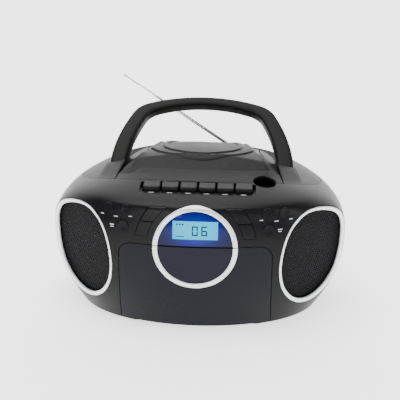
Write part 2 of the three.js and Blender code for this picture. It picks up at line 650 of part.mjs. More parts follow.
// Speakers.
const GRILLE_INSET = 7.6;
for (const [hand, side] of SIDES) {
  const ring = cut(solid(onFacet(facetOval(1.4), -3, 0.8)),
    solid(onFacet(facetOval(GRILLE_INSET - 0.4), -9, 9)));
  const grille = solid(onFacet(facetOval(GRILLE_INSET), -4.4, -3));
  const driver = solid(turned([[0, -36], [27, -36], [27, -22], [24, -22], [42, -3], [42, 0], [38, 0],
    [14, -8], [0, -10]], facetPoint(-6), facetOut));
  const put = (body) => (side > 0 ? body : solid(mirrored(toGeometry(body))));
  add(`speaker_ring_${hand}`, put(ring), 'silver');
  add(`speaker_grille_${hand}`, put(grille), 'grille');
  add(`speaker_driver_${hand}`, put(driver), 'dark');
}

// Controls.
const buttonBack = 6;
for (const [hand, side] of SIDES) {
  for (const button of ROUND_BUTTONS) {
    const [name, x, z] = button;
    const front = frontAt(x, z);
    const body = solid(inward(button[3], side * x, z, front - 8, front + buttonBack, 18));
    add(`button_${name}_${hand}`, body.intersect(skin(-BUTTON_PROUD)), 'dark');
  }
  for (const [name, low, high] of sectorRows) {
    const body = sectorHole(low, high, side, 0).intersect(skin(-BUTTON_PROUD)).intersect(
      solid(box(-90, 90, -140, frontAt(60, 130) + buttonBack, 0, 200)));
    add(`button_sector_${name}_${hand}`, body, 'dark');
  }
}

const KEY_NAMES = ['record', 'play', 'rewind', 'forward', 'stop', 'pause'];
KEY_NAMES.forEach((name, i) => {
  const x = (i - (KEY_COUNT - 1) / 2) * KEY_PITCH;
  const half = KEY_PITCH / 2 - 0.7;
  const profile = [[KEY_FRONT, 144], [KEY_BACK, 144], [KEY_BACK, 161], [KEY_BACK - 2, 161.2],
    [KEY_FRONT + 1, 159.8],
    [KEY_FRONT, 158.6]];
  const shape = new THREE.Shape(profile.map(([y, z]) => v2(y, z)));
  const geometry = new THREE.ExtrudeGeometry(shape, { depth: 2 * half, bevelEnabled: false, steps: 1 });
  const turn = new THREE.Matrix4().makeBasis(Y, Z, X).setPosition(x - half, 0, 0);
  add(`key_${name}`, solid(geometry.applyMatrix4(turn)), 'dark');
});

// Disc lid with its hinge barrels and the clamp that holds the disc.
function lidSheet() {
  const [across, along] = [14, 9];
  const thick = 2.2;
  const points = [];
  const faces = [];
  for (const under of [0, 1]) {
    for (let j = 0; j <= along; j++) {
      for (let i = 0; i <= across; i++) {
        const p = lidPlace((2 * i) / across - 1, j / along, RUN / 2);
        points.push(at(p.x, p.y, lidTop(p.x, p.y) - under * thick));
      }
    }
  }
  const n = across + 1;
  const lower = n * (along + 1);
  for (let j = 0; j < along; j++) {
    for (let i = 0; i < across; i++) {
      const a = j * n + i;
      faces.push(a, a + 1, a + n + 1, a, a + n + 1, a + n);
      faces.push(lower + a, lower + a + n + 1, lower + a + 1, lower + a, lower + a + n, lower + a + n + 1);
    }
  }
  const wall = (a, b) => faces.push(a, lower + a, lower + b, a, lower + b, b);
  for (let i = 0; i < across; i++) {
    wall(i, i + 1);
    wall(along * n + i + 1, along * n + i);
  }
  for (let j = 0; j < along; j++) {
    wall((j + 1) * n, j * n);
    wall(j * n + across, (j + 1) * n + across);
  }
  const geometry = new THREE.BufferGeometry().setFromPoints(points);
  geometry.setIndex(faces);
  return solid(geometry);
}

const LID_HINGE_Z = 156;
const barrel = join(
  solid(rod(3.4, at(34, LID_REAR_Y + 1, LID_HINGE_Z), at(54, LID_REAR_Y + 1, LID_HINGE_Z), 16)),
  solid(box(34, 54, LID_REAR_Y - 8, LID_REAR_Y + 1, LID_HINGE_Z - 1, lidTop(54, LID_REAR_Y - 2) - 0.6)));
const lidCentre = lidTop(0, DISC_Y);
const CUP_Z = 163;
add('disc_lid', cut(join(lidSheet(), barrel, solid(mirrored(toGeometry(barrel))),
  cut(solid(upright(16, 0, DISC_Y, CUP_Z, lidCentre - 1, 24)),
    solid(upright(14.4, 0, DISC_Y, CUP_Z - 1, lidCentre - 2.2, 24)))), scoop(0)), 'cabinet');
add('disc_clamp', solid(turned([[0, 0], [12, 0], [13.6, 1.5], [13.6, 6], [10, 7.5], [0, 7.5]],
  at(0, DISC_Y, 157.2), Z, 20)), 'dark');

// Handle and its two pins.
add('handle', handleBody(), 'handle');
for (const [hand, side] of SIDES) {
  add(`handle_pin_${hand}`, solid(sided(rod(PIN_RADIUS, at(ARM_INNER + 2, PIVOT_Y, PIVOT_Z),
    at(HANDLE_HALF_WIDTH + RUN + PIN_REACH, PIVOT_Y, PIVOT_Z), 16), side)), 'steel');
}

// Aerial: a swivel in the rear wall, and three tubes that slide in each other.
const aerialRoot = at(AERIAL_X, AERIAL_Y, AERIAL_Z);
const aerialAlong = at(-Math.cos(rad(AERIAL_ANGLE)), 0, Math.sin(rad(AERIAL_ANGLE)));
const aerialAxis = aerialAlong.clone().cross(Y);
const onAerial = (distance, aside = 0) => aerialRoot.clone().addScaledVector(aerialAlong, distance)
  .addScaledVector(aerialAxis, aside);
const ear = (side) => rod(4, onAerial(0, side * 2.7), onAerial(0, side * 4.2), 20);
const earFoot = (side) => {
  const geometry = new THREE.BoxGeometry(1.5, 4, 8).applyMatrix4(
    new THREE.Matrix4().makeBasis(aerialAxis, Y, aerialAlong.clone().negate()));
  const place = onAerial(0, side * 3.45).setY(AERIAL_Y - 3.2);
  return geometry.translate(...place.toArray());
};
add('aerial_swivel', join(solid(inward(7, AERIAL_X, AERIAL_Z, AERIAL_Y - 12, AERIAL_Y - 4, 24)),
  ...[-1, 1].flatMap((side) => [solid(ear(side)), solid(earFoot(side))])), 'steel');
const TUBES = [['aerial_lower', 2.2, 1.75, 3, 152], ['aerial_middle', 1.6, 1.15, 36, 186],
  ['aerial_tip', 1, 0, 60, 204]];
const TUBE_SIDES = 12;
for (const [name, radius, bore, from, to] of TUBES) {
  let body = solid(rod(radius, onAerial(from), onAerial(to), TUBE_SIDES));
  if (bore) body = cut(body, solid(rod(bore, onAerial(from + 9), onAerial(to + 1), TUBE_SIDES)));
  if (name === 'aerial_lower') body = join(body, solid(rod(3.4, onAerial(0, -2.3), onAerial(0, 2.3), 20)));
  if (name === 'aerial_tip') body = join(body, solid(rod(2.1, onAerial(to), onAerial(to + 5), TUBE_SIDES)));
  add(name, body, 'chrome');
}

// Disc drive.
add('disc_chassis', cut(join(solid(box(-36, 36, -58, 46, 139, 141)),
  solid(upright(13, 0, DISC_Y, 124, 140, 20)),
  solid(rod(1.5, at(-17, -57, 143.4), at(-17, -6, 143.4), 12)),
  solid(box(-19, -15, -58, -55, 140, 145)), solid(box(-19, -15, -7.2, -4.5, 140, 145)),
  ...[[-32, -46], [32, -46], [-32, 42], [32, 42]].map(([x, y]) => solid(upright(3, x, y, 140, 147.6, 12)))),
solid(upright(2.2, 0, DISC_Y, 120, 160, 16))), 'steel');
add('disc_turntable', solid(turned([[0, 127], [1.6, 127], [1.6, 145], [15, 145], [15, 153], [7.2, 153],
  [7.2, 155.4], [5.5, 156.4], [0, 156.4]], at(0, DISC_Y, 0), Z, 20)), 'dark');
add('laser_sled', cut(join(solid(box(-21, 11, DISC_Y - 40, DISC_Y - 24, 141.6, 147)),
  solid(box(-9, 9, DISC_Y - 38, DISC_Y - 26, 146, 151.5)), solid(upright(3, 0, DISC_Y - 32, 151, 153, 20))),
solid(rod(1.9, at(-17, -60, 143.4), at(-17, 0, 143.4), 12))), 'dark');

// Tape drive behind the cassette door.
const WELL_Y = -76;
const REEL = { x: 21.25, z: 56 };
const FLYWHEEL = { x: 30, z: 26, r: 17 };
const MOTOR = { x: -34, z: 26, r: 13, pulley: 4 };
add('tape_chassis', cut(join(solid(through(
  [v2(-82, 12), v2(82, 12), v2(82, 100), v2(-82, 100)], WELL_Y, WELL_Y + 2)),
solid(box(-24, 24, WELL_Y - 13, WELL_Y + 1, 17, 21.5))),
...[-1, 1].map((side) => solid(inward(3.4, side * REEL.x, REEL.z, -120, -60, 12))),
solid(inward(2, FLYWHEEL.x, FLYWHEEL.z, -120, -60, 16)),
solid(inward(6, MOTOR.x, MOTOR.z, -120, -60, 20))), 'steel');
for (const [hand, side] of SIDES) {
  add(`reel_spindle_${hand}`, join(
    solid(inward(3, side * REEL.x, REEL.z, WELL_Y - 19, WELL_Y + 5, 12)),
    solid(inward(9, side * REEL.x, REEL.z, WELL_Y - 2.6, WELL_Y - 0.5, 18)),
    solid(inward(9, side * REEL.x, REEL.z, WELL_Y + 2.6, WELL_Y + 5, 18)),
    ...[0, 1, 2].map((i) => {
      const fin = new THREE.BoxGeometry(1.2, 12, 4.6).translate(0, 0, 2.3).rotateY((i * 2 * Math.PI) / 3);
      return solid(fin.translate(side * REEL.x, WELL_Y - 12, REEL.z));
    })), 'white');
}
const BELT_Y = WELL_Y + 9;
add('capstan_flywheel', join(solid(inward(FLYWHEEL.r, FLYWHEEL.x, FLYWHEEL.z, WELL_Y + 6, WELL_Y + 13, 24)),
  solid(inward(1.3, FLYWHEEL.x, FLYWHEEL.z, WELL_Y - 15, WELL_Y + 7, 16))), 'steel');
add('tape_motor', solid(inward(MOTOR.r, MOTOR.x, MOTOR.z, WELL_Y + 15, WELL_Y + 36, 20)), 'steel');
add('motor_pulley', join(solid(inward(MOTOR.pulley, MOTOR.x, MOTOR.z, WELL_Y + 6, WELL_Y + 12, 20)),
  solid(inward(1, MOTOR.x, MOTOR.z, WELL_Y + 11, WELL_Y + 14.6, 12))), 'copper');

// A belt outline round two wheels, at a clearance from both: the outer common tangents.
function beltOutline(clear) {
  const [a, b] = [[FLYWHEEL.x, FLYWHEEL.z, FLYWHEEL.r + clear], [MOTOR.x, MOTOR.z, MOTOR.pulley + clear]];
  const span = a[0] - b[0];
  const tangent = Math.acos((a[2] - b[2]) / span);
  const arc = ([x, z, r], from, to, n) => Array.from({ length: n + 1 }, (_, i) => {
    const t = from + ((to - from) * i) / n;
    return v2(x + r * Math.cos(t), z + r * Math.sin(t));
  });
  return [...arc(a, tangent - Math.PI, Math.PI - tangent, 20),
    ...arc(b, Math.PI - tangent, Math.PI + tangent, 10)];
}
add('drive_belt', cut(solid(through(beltOutline(1.6), BELT_Y - 1.2, BELT_Y + 1.2)),
  solid(through(beltOutline(0.4), BELT_Y - 3, BELT_Y + 3))), 'rubber');

// Boards and power.
add('control_board', join(solid(box(-76, 76, -92, -90.4, 109, 143)),
  ...[-1, 1].flatMap((side) => [60, 44].map((x) => solid(box(side * x - 3, side * x + 3, -95, -91, 128,
    134)))),
  solid(box(-14, 14, -91, -87, 118, 132))), 'board');
add('main_board', join(solid(box(-74, 74, 20, 96, 44, 45.6)),
  ...[[-52, 34, 8], [-30, 34, 8], [-52, 60, 6], [20, 78, 6], [40, 40, 5], [58, 40, 5]].map(([x, y, r]) =>
    solid(upright(r, x, y, 45, 45 + 3 * r, 10))),
  solid(box(-10, 16, 40, 58, 45, 50)), solid(box(46, 70, 60, 84, 45, 58)), solid(box(-30, 10, 84, 88,
    45, 72))),
'board');
add('mains_transformer', join(solid(box(-119, -85, 18, 52, 12, 46)), solid(box(-115, -89, 12, 58, 17, 41)),
  solid(box(-119, -85, 31, 39, 7.5, 13))), 'steel');
add('mains_inlet', cut(solid(box(INLET.x - INLET.half, INLET.x + INLET.half, 84, 100.6,
  INLET.z - INLET.rise, INLET.z + INLET.rise)),
...[-1, 1].map((side) => solid(inward(4.6, INLET.x + side * 3.4, INLET.z, 88, 120, 14)))), 'dark');

export default model;
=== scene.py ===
# %% [markdown]
# # A portable disc, cassette and radio player
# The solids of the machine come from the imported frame. This notebook adds the moulded skins, the trim,
# the controls, the finishes and a plain studio. Lengths in the formulas are millimetres and the scene
# is in metres.

# %% Load the frame
import json
import math

import bpy
import numpy as np
from mathutils import Matrix, Vector


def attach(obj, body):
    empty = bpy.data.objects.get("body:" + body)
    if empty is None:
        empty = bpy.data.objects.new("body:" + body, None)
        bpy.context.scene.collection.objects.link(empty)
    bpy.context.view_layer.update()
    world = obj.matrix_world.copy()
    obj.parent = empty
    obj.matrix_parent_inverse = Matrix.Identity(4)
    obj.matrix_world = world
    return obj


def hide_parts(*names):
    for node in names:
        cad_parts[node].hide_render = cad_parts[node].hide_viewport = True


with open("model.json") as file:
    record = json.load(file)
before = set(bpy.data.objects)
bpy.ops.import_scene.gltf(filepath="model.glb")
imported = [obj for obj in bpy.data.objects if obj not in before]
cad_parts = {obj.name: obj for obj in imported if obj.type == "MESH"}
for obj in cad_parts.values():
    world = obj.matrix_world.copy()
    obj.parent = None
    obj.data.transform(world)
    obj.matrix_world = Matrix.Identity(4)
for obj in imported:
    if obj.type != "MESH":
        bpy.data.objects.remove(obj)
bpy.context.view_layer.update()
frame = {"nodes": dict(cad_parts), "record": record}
print(len(frame["nodes"]), "solids")

# %% [markdown]
# ## The camera
# A long lens stands a metre and a half away, a little above the machine and slightly to its right.

# %% Camera
eye = Vector((0.0738, -1.4276, 0.6385))
aim = Vector((0.0, -0.020, 0.1255))
camera = bpy.data.objects.new("camera", bpy.data.cameras.new("camera"))
bpy.context.scene.collection.objects.link(camera)
camera.data.lens, camera.data.sensor_width = 117.36, 36.0
turn = (aim - eye).to_track_quat("-Z", "Y").to_matrix().to_4x4()
camera.matrix_world = Matrix.Translation(eye) @ turn @ Matrix.Rotation(math.radians(0.73), 4, "Z")
bpy.context.scene.camera = camera

# %% [markdown]
# ## Mesh tools
# Every surface is a net of points from a formula. `clip` cuts a net along the zero line of a second
# formula, so an opening has a clean outline, and `shell` gives the result a wall.

# %% Mesh tools
def net(points, round_u=False, round_v=False):
    """Vertices and triangles of a grid of points with shape (rows, columns, 3), closed round if asked."""
    rows, cols = points.shape[:2]
    i, j = np.meshgrid(np.arange(rows - (not round_u)), np.arange(cols - (not round_v)), indexing="ij")
    a = (i * cols + j).ravel()
    b = (((i + 1) % rows) * cols + j).ravel()
    c = (((i + 1) % rows) * cols + (j + 1) % cols).ravel()
    d = (i * cols + (j + 1) % cols).ravel()
    faces = np.concatenate([np.stack([a, b, c], 1), np.stack([a, c, d], 1)])
    return points.reshape(-1, 3).astype(float), faces


def clip(body, keep):
    """The part of a net where keep(points) is positive. A crossed edge is cut where the value, taken as
    linear along the edge, is zero."""
    points, faces = body
    value = keep(points)
    inside = value[faces] >= 0
    count = inside.sum(1)
    out = [faces[count == 3]]
    mixed, where = faces[(count == 1) | (count == 2)], inside[(count == 1) | (count == 2)]
    if len(mixed):
        lone = np.where(where.sum(1) == 1, where.argmax(1), (~where).argmax(1))
        a, b, c = (mixed[np.arange(len(mixed)), (lone + k) % 3] for k in range(3))
        size = len(points)
        keys = np.stack([np.minimum(a, b) * size + np.maximum(a, b),
                         np.minimum(a, c) * size + np.maximum(a, c)])
        unique, place = np.unique(keys.ravel(), return_inverse=True)
        low, high = unique // size, unique % size
        share = (value[low] / (value[low] - value[high]))[:, None]
        points = np.concatenate([points, points[low] + (points[high] - points[low]) * share])
        ab, ac = size + place.reshape(2, -1)
        one = where.sum(1) == 1
        out += [np.stack([a, ab, ac], 1)[one], np.stack([ab, b, c], 1)[~one], np.stack([ab, c, ac], 1)[~one]]
    faces = np.concatenate(out)
    used, place = np.unique(faces.ravel(), return_inverse=True)
    return points[used], place.reshape(-1, 3)


def normals(points, faces):
    """Unit vertex normals: the sum of the cross products of the triangles round each vertex."""
    a, b, c = (points[faces[:, k]] for k in range(3))
    across = np.cross(b - a, c - a)
    total = np.zeros_like(points)
    for k in range(3):
        np.add.at(total, faces[:, k], across)
    return total / np.maximum(np.linalg.norm(total, axis=1, keepdims=True), 1e-12)


def shell(body, thickness):
    """A closed wall: the net, a copy moved back along the normals, and a strip along every open edge."""
    points, faces = body
    back = points - normals(points, faces) * thickness
    pairs = np.concatenate([faces[:, [0, 1]], faces[:, [1, 2]], faces[:, [2, 0]]])
    keys = np.minimum(pairs[:, 0], pairs[:, 1]) * len(points) + np.maximum(pairs[:, 0], pairs[:, 1])
    _, place, count = np.unique(keys, return_inverse=True, return_counts=True)
    a, b = pairs[count[place.ravel()] == 1].T
    n = len(points)
    walls = np.concatenate([np.stack([b, a, a + n], 1), np.stack([b, a + n, b + n], 1)])
    return np.concatenate([points, back]), np.concatenate([faces, faces[:, ::-1] + n, walls])


def merged(*bodies):
    """Several nets as one."""
    points, faces, start = [], [], 0
    for p, f in bodies:
        points.append(p)
        faces.append(f + start)
        start += len(p)
    return np.concatenate(points), np.concatenate(faces)


def flipped(body):
    """The mirror image in the plane x = 0, still facing outward."""
    return body[0] * [-1, 1, 1], body[1][:, ::-1]


def outward(body):
    """The closed net with its faces turned outward: the signed volume is made positive."""
    points, faces = body
    a, b, c = (points[faces[:, k]] for k in range(3))
    return (points, faces) if (a * np.cross(b, c)).sum() > 0 else (points, faces[:, ::-1])


def piece(name, body, finish, rider="cabinet", instead=(), crease=35):
    """One named object from a net in millimetres, riding on a body of the frame."""
    points, faces = body
    mesh = bpy.data.meshes.new(name)
    mesh.from_pydata((points / 1000).tolist(), [], faces.tolist())
    mesh.update()
    mesh.polygons.foreach_set("use_smooth", [True] * len(mesh.polygons))
    mesh.set_sharp_from_angle(angle=math.radians(crease))
    mesh.materials.append(finish)
    made = bpy.data.objects.new(name, mesh)
    bpy.context.scene.collection.objects.link(made)
    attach(made, rider)
    if instead:
        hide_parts(*instead)
    return made


def turned(profile, origin, axis, sides=64):
    """A closed turned body: the profile's radius and height pairs go round the axis."""
    axis = np.array(axis, float) / np.linalg.norm(axis)
    side = np.cross(axis, [0.0, 0.0, 1.0] if abs(axis[2]) < 0.9 else [1.0, 0.0, 0.0])
    side /= np.linalg.norm(side)
    other = np.cross(axis, side)
    t = np.linspace(0, 2 * np.pi, sides, endpoint=False)
    ring = np.cos(t)[:, None] * side + np.sin(t)[:, None] * other
    profile = np.array(profile, float)
    points = (np.array(origin, float) + profile[:, None, 1:] * axis) + profile[:, None, :1] * ring[None]
    body = net(points, round_v=True)
    ends = []
    for row in (0, len(profile) - 1):
        centre = np.array([points[row].mean(0)])
        first = len(body[0]) + len(ends)
        ends.append(centre)
        k = np.arange(sides)
        fan = np.stack([row * sides + k, row * sides + (k + 1) % sides, np.full(sides, first)], 1)
        body = (body[0], np.concatenate([body[1], fan if row else fan[:, ::-1]]))
    return outward((np.concatenate([body[0], *ends]), body[1]))


# %% [markdown]
# ## The cabinet's form
# Each level is an oval that is squarer behind its widest line. The face bows gently and turns into a
# flat deck over a fairly tight edge, which is why two depths are joined with a high power mean.

# %% The form
CROWN, BASE = 168.0, 3.0


def smooth(a, b, x):
    """Zero below a, one above b, and a cubic ease between."""
    t = np.clip((x - a) / (b - a), 0, 1)
    return t * t * (3 - 2 * t)


def level(z):
    """Half width, front, rear, widest line and front squareness of the level z."""
    above = np.maximum(0, z - 92.5) / 76.0
    below = np.maximum(0, 92.5 - z) / 158.0
    half = 167.2 * np.sqrt(np.maximum(1e-9, 1 - above**3 - below**2))
    bow = ((z - 88) / 22) ** 2
    deck = np.sqrt(712 * np.maximum(0, CROWN - z))
    join = lambda a, b: (a**-24 + b**-24) ** (-1 / 24)
    front = -join(115 - bow, np.maximum(1, deck - 10))
    rear = join(114.6 - bow, np.maximum(1, deck + 10))
    wide = -5 - 25 * smooth(0, 110, z) + 22 * smooth(125, CROWN, z)
    power = 2 + 0.2 * smooth(10, 80, z) + 0.6 * smooth(130, 158, z)
    return half, front, rear, wide, power


def front_at(x, z, inset=0.0):
    """Depth of the face: the widest line less the reach times the oval's fall-off across."""
    half, front, _, wide, power = level(z)
    reach = np.maximum(0, 1 - (np.abs(x) / half) ** power) ** (1 / power)
    return wide - (wide - front) * reach + inset


def beyond(x, y, z):
    """Above zero outside the form: the oval's equation less one."""
    half, front, rear, wide, power = level(z)
    e = np.where(y < wide, power, 2.5)
    reach = np.where(y < wide, wide - front, rear - wide)
    return (np.abs(x) / half) ** e + (np.abs(y - wide) / np.maximum(reach, 1e-6)) ** e - 1


def deck_at(x, y):
    """Height of the deck over a point, found by halving the interval where the form ends."""
    low, high = np.full(np.shape(x), 92.5), np.full(np.shape(x), CROWN - 0.01)
    for _ in range(40):
        middle = (low + high) / 2
        out = beyond(x, y, middle) > 0
        high, low = np.where(out, middle, high), np.where(out, low, middle)
    return low


def wrap(start, stop, around=300, rows=150, top=CROWN - 0.4):
    """The skin between two bearings: x and y follow powers of the cosine and sine, level by level."""
    z = BASE + (top - BASE) * np.sin(np.pi / 2 * np.linspace(0, 1, rows))[None, :]
    t = np.linspace(start, stop, around)[:, None]
    half, front, rear, wide, power = level(z)
    c, s = np.cos(t), np.sin(t)
    e = np.where(s < 0, power, 2.5)
    reach = np.where(s < 0, wide - front, rear - wide)
    x = half * np.sign(c) * np.abs(c) ** (2 / e)
    y = wide + reach * np.sign(s) * np.abs(s) ** (2 / e)
    return net(np.stack([x, y, z + 0 * x], -1))


# %% [markdown]
# ## The lines that divide the skin
# The same few outlines shape the cabinet and the parts that fill its openings, each with a small gap.

# %% Outlines
RING_Z, RING_R, RING_BAND, DOOR_TOP = 102.7, 46.8, 5.4, 104.8
FACET = np.array([math.sin(math.radians(46.3)) * math.cos(math.radians(4.8)),
                  -math.cos(math.radians(46.3)) * math.cos(math.radians(4.8)), -math.sin(math.radians(4.8))])
ROUND_BUTTONS = {"outer": (96, 140.5, 5.3), "inner": (77.5, 141.5, 5.3), "lower": (80, 123.4, 6.6)}
SECTORS = {"lower": (114.6, 130.6), "upper": (131.4, 147.2)}


def in_cover(p, grow=0.0):
    """Above zero inside the top cover's plan, a cube law across and a square law from front to rear."""
    x, y, z = p.T
    reach = np.where(y < 10, 68, 80) + grow
    inside = 1 - (np.abs(x) / (139 + grow)) ** 3 - ((y - 10) / reach) ** 2
    return np.where(z > 125, inside * 30, -1)


def in_door(p, grow=0.0):
    """Above zero inside the door: the signed distance to a rectangle with round upper corners."""
    x, y, z = p.T
    r = 13 + grow
    qx, qz = np.abs(x) - (84.2 + grow - r), np.maximum(z, 60) - (DOOR_TOP + grow - r)
    away = np.hypot(np.maximum(qx, 0), np.maximum(qz, 0)) + np.minimum(np.maximum(qx, qz), 0) - r
    return np.where(y < -60, -away, -1)


def in_disc(p, radius, x0=0.0, z0=RING_Z):
    """Above zero inside a round outline seen from the front."""
    return np.where(p[:, 1] < -60, radius - np.hypot(p[:, 0] - x0, p[:, 2] - z0), -1)


def in_sector(p, low, high, grow=0.0):
    """Above zero inside a curved button: between two arcs and two levels."""
    x, y, z = p.T
    r = np.hypot(x, z - RING_Z)
    inside = np.minimum(np.minimum(r - 54.2 + grow, 67.4 + grow - r),
                        np.minimum(z - low + grow, high + grow - z))
    return np.where(y < -60, inside, -1)


def in_facets(p):
    """Above zero behind both speaker planes."""
    return 130.5 - np.maximum(p @ FACET, p @ (FACET * [-1, 1, 1]))


def in_trough(p):
    """Above zero inside the step that the keys stand in."""
    x, y, z = p.T
    return np.minimum(np.minimum(64.2 - np.abs(x), -59.2 - y), np.minimum(y + 95, z - 154.6))


def in_scoop(p):
    """Above zero inside the finger bowl, an ellipsoid."""
    return (1 - np.linalg.norm((p - [74, -50, 161]) / [13.5, 14, 9], axis=1)) * 11


def arch(half, height, steps=80):
    """Half of the handle's outline: a straight foot, then three parabolas up to the middle of the bar."""
    up = lambda share: 9 + height * share
    legs = [[(half, 0), (half, 4.5), (half, 9)],
            [(half, 9), (half - 3, up(0.37)), (half * 0.79, up(0.735))],
            [(half * 0.79, up(0.735)), (half * 0.747, up(0.83)), (half * 0.64, up(0.882))],
            [(half * 0.64, up(0.882)), (half * 0.34, up(1)), (0, up(1))]]
    t = np.linspace(0, 1, steps)[:, None]
    dense = np.concatenate([(1 - t) ** 2 * np.array(a) + 2 * t * (1 - t) * np.array(b) + t * t * np.array(c)
                            for a, b, c in legs])
    run = np.concatenate([[0], np.cumsum(np.hypot(*np.diff(dense, axis=0).T))])
    even = np.linspace(0, run[-1], steps)
    return np.stack([np.interp(even, run, dense[:, k]) for k in range(2)], 1)


OUTER_ARCH, INNER_ARCH = arch(106.5, 85.7), arch(87.0, 75.5)


def in_channel(p):
    """Above zero where the folded handle lies: between the arch's two outlines and above its lower face."""
    x, y, z = np.abs(p[:, 0]), p[:, 1], p[:, 2]
    s = np.maximum(y - 5.2, 0) / math.sin(math.radians(78))
    outer = np.interp(s, OUTER_ARCH[:, 1], OUTER_ARCH[:, 0]) + 0.9
    inner = np.interp(s, INNER_ARCH[:, 1], INNER_ARCH[:, 0], right=0) - 0.9
    low = 141 + np.maximum(y - 5.2, 0) * 0.2126
    return np.minimum(np.minimum(outer - x, x - inner), np.minimum(y + 4.8, z - low))


def lid_half(y):
    """Half width of the lid: straight to the waist, in past the handle's arms, then eased to the hinge."""
    start = -46.44
    front = np.interp(y, [start, 8, 21], [94.5, 85.6, 75])
    return np.where(y < 21, front, 75 - 9 * smooth(21, 55, y))


def in_lid(p, grow=0.0):
    """Above zero inside the lid's plan."""
    x, y, _ = p.T
    edge = 10 - 68 * np.sqrt(np.maximum(0, 1 - (np.abs(x) / 139) ** 3))
    return np.minimum(np.minimum(lid_half(y) + grow - np.abs(x), y - edge + grow), 70 + grow - y)


print("outlines ready")

# %% [markdown]
# ## Finishes
# A small class turns Blender's maths nodes into ordinary arithmetic, so each finish reads as a formula
# of the place on the object.

# %% Shader arithmetic
class Value:
    """One number in a shader, with + - * / in both orders."""

    def __init__(self, tree, socket):
        self.tree, self.socket = tree, socket

    def op(self, name, *others, swap=False):
        made = self.tree.nodes.new("ShaderNodeMath")
        made.operation = name
        terms = [self, *others]
        for k, term in enumerate(reversed(terms) if swap else terms):
            if isinstance(term, Value):
                self.tree.links.new(term.socket, made.inputs[k])
            else:
                made.inputs[k].default_value = term
        return Value(self.tree, made.outputs[0])

    def __add__(self, other): return self.op("ADD", other)
    def __radd__(self, other): return self.op("ADD", other, swap=True)
    def __sub__(self, other): return self.op("SUBTRACT", other)
    def __rsub__(self, other): return self.op("SUBTRACT", other, swap=True)
    def __mul__(self, other): return self.op("MULTIPLY", other)
    def __rmul__(self, other): return self.op("MULTIPLY", other, swap=True)
    def __truediv__(self, other): return self.op("DIVIDE", other)
    def __rtruediv__(self, other): return self.op("DIVIDE", other, swap=True)
    def clamp(self): return self.op("MINIMUM", 1.0).op("MAXIMUM", 0.0)


class Finish:
    """A material whose sockets are set by name, from constants or from Values."""

    def __init__(self, name, **constants):
        self.material = bpy.data.materials.new(name)
        self.material.use_nodes = True
        self.tree = self.material.node_tree
        self.main = next(n for n in self.tree.nodes if n.type == "BSDF_PRINCIPLED")
        for key, value in constants.items():
            self.main.inputs[key.replace("_", " ")].default_value = value
        self.place = self.node("ShaderNodeTexCoord").outputs["Object"]

    def node(self, kind, inputs=None, **settings):
        """Adds any other node, with its settings and its inputs given by name."""
        made = self.tree.nodes.new(kind)
        for key, value in settings.items():
            setattr(made, key, value)
        for key, value in (inputs or {}).items():
            if isinstance(value, Value):
                self.tree.links.new(value.socket, made.inputs[key])
            elif isinstance(value, bpy.types.NodeSocket):
                self.tree.links.new(value, made.inputs[key])
            else:
                made.inputs[key].default_value = value
        return made

    def noise(self, scale, detail=3.0):
        made = self.node("ShaderNodeTexNoise", {"Vector": self.place, "Scale": scale, "Detail": detail})
        return Value(self.tree, made.outputs[0])

    def axes(self):
        parts = self.node("ShaderNodeSeparateXYZ", {"Vector": self.place}).outputs
        return [Value(self.tree, parts[k]) for k in range(3)]

    def feed(self, socket, value):
        self.tree.links.new(getattr(value, "socket", value), self.main.inputs[socket])

    def shade(self, factor, low, high, socket="Base Color"):
        """Mixes two colours by a factor into a colour socket."""
        made = self.node("ShaderNodeMix", {"Factor": factor}, data_type="RGBA")
        made.inputs[6].default_value, made.inputs[7].default_value = (*low, 1), (*high, 1)
        self.feed(socket, made.outputs[2])

    def bump(self, height, strength, distance=0.0003):
        made = self.node("ShaderNodeBump", {"Height": height, "Strength": strength, "Distance": distance})
        self.feed("Normal", made.outputs[0])


def moulded(name, colour, rough, grain=2600.0, depth=0.12, spread=0.08, coat=0.0, shine=0.13):
    """Moulded plastic: a fine spark-eroded grain, and a roughness that drifts a little over the part."""
    f = Finish(name, Coat_Weight=coat, Specular_IOR_Level=shine)
    drift = f.noise(14.0)
    f.shade(drift, [c * 0.85 for c in colour], [c * 1.15 for c in colour])
    f.feed("Roughness", (drift - 0.5) * spread + rough)
    f.bump(f.noise(grain, 2.0), depth)
    return f.material


def metal(name, colour, rough, metallic=1.0, scale=900.0):
    """Bare or lacquered metal: faint wear in the roughness and almost no relief."""
    f = Finish(name, Metallic=metallic)
    drift = f.noise(30.0)
    f.shade(drift, [c * 0.92 for c in colour], colour)
    f.feed("Roughness", (f.noise(scale) - 0.5) * 0.06 + rough)
    return f.material


def window():
    """The tinted window: nearly black, lit blue from the screen behind it. The glow falls off with the
    fourth power of the distance from the middle of the screen, measured more steeply upward."""
    f = Finish("tinted window", Specular_IOR_Level=0.2)
    x, _, z = f.axes()
    across, up = x * 28.0, (z - 0.1235) * 42.0
    far = across * across + up * up
    glow = 1.0 / (far * far * 5.0 + 1.0)
    f.shade(glow.clamp(), (0.002, 0.002, 0.006), (0.006, 0.012, 0.10))
    f.shade(glow.clamp(), (0.0, 0.0, 0.006), (0.0, 0.03, 0.8), "Emission Color")
    f.main.inputs["Emission Strength"].default_value = 0.5
    f.feed("Roughness", f.noise(300.0) * 0.03 + 0.07)
    return f.material


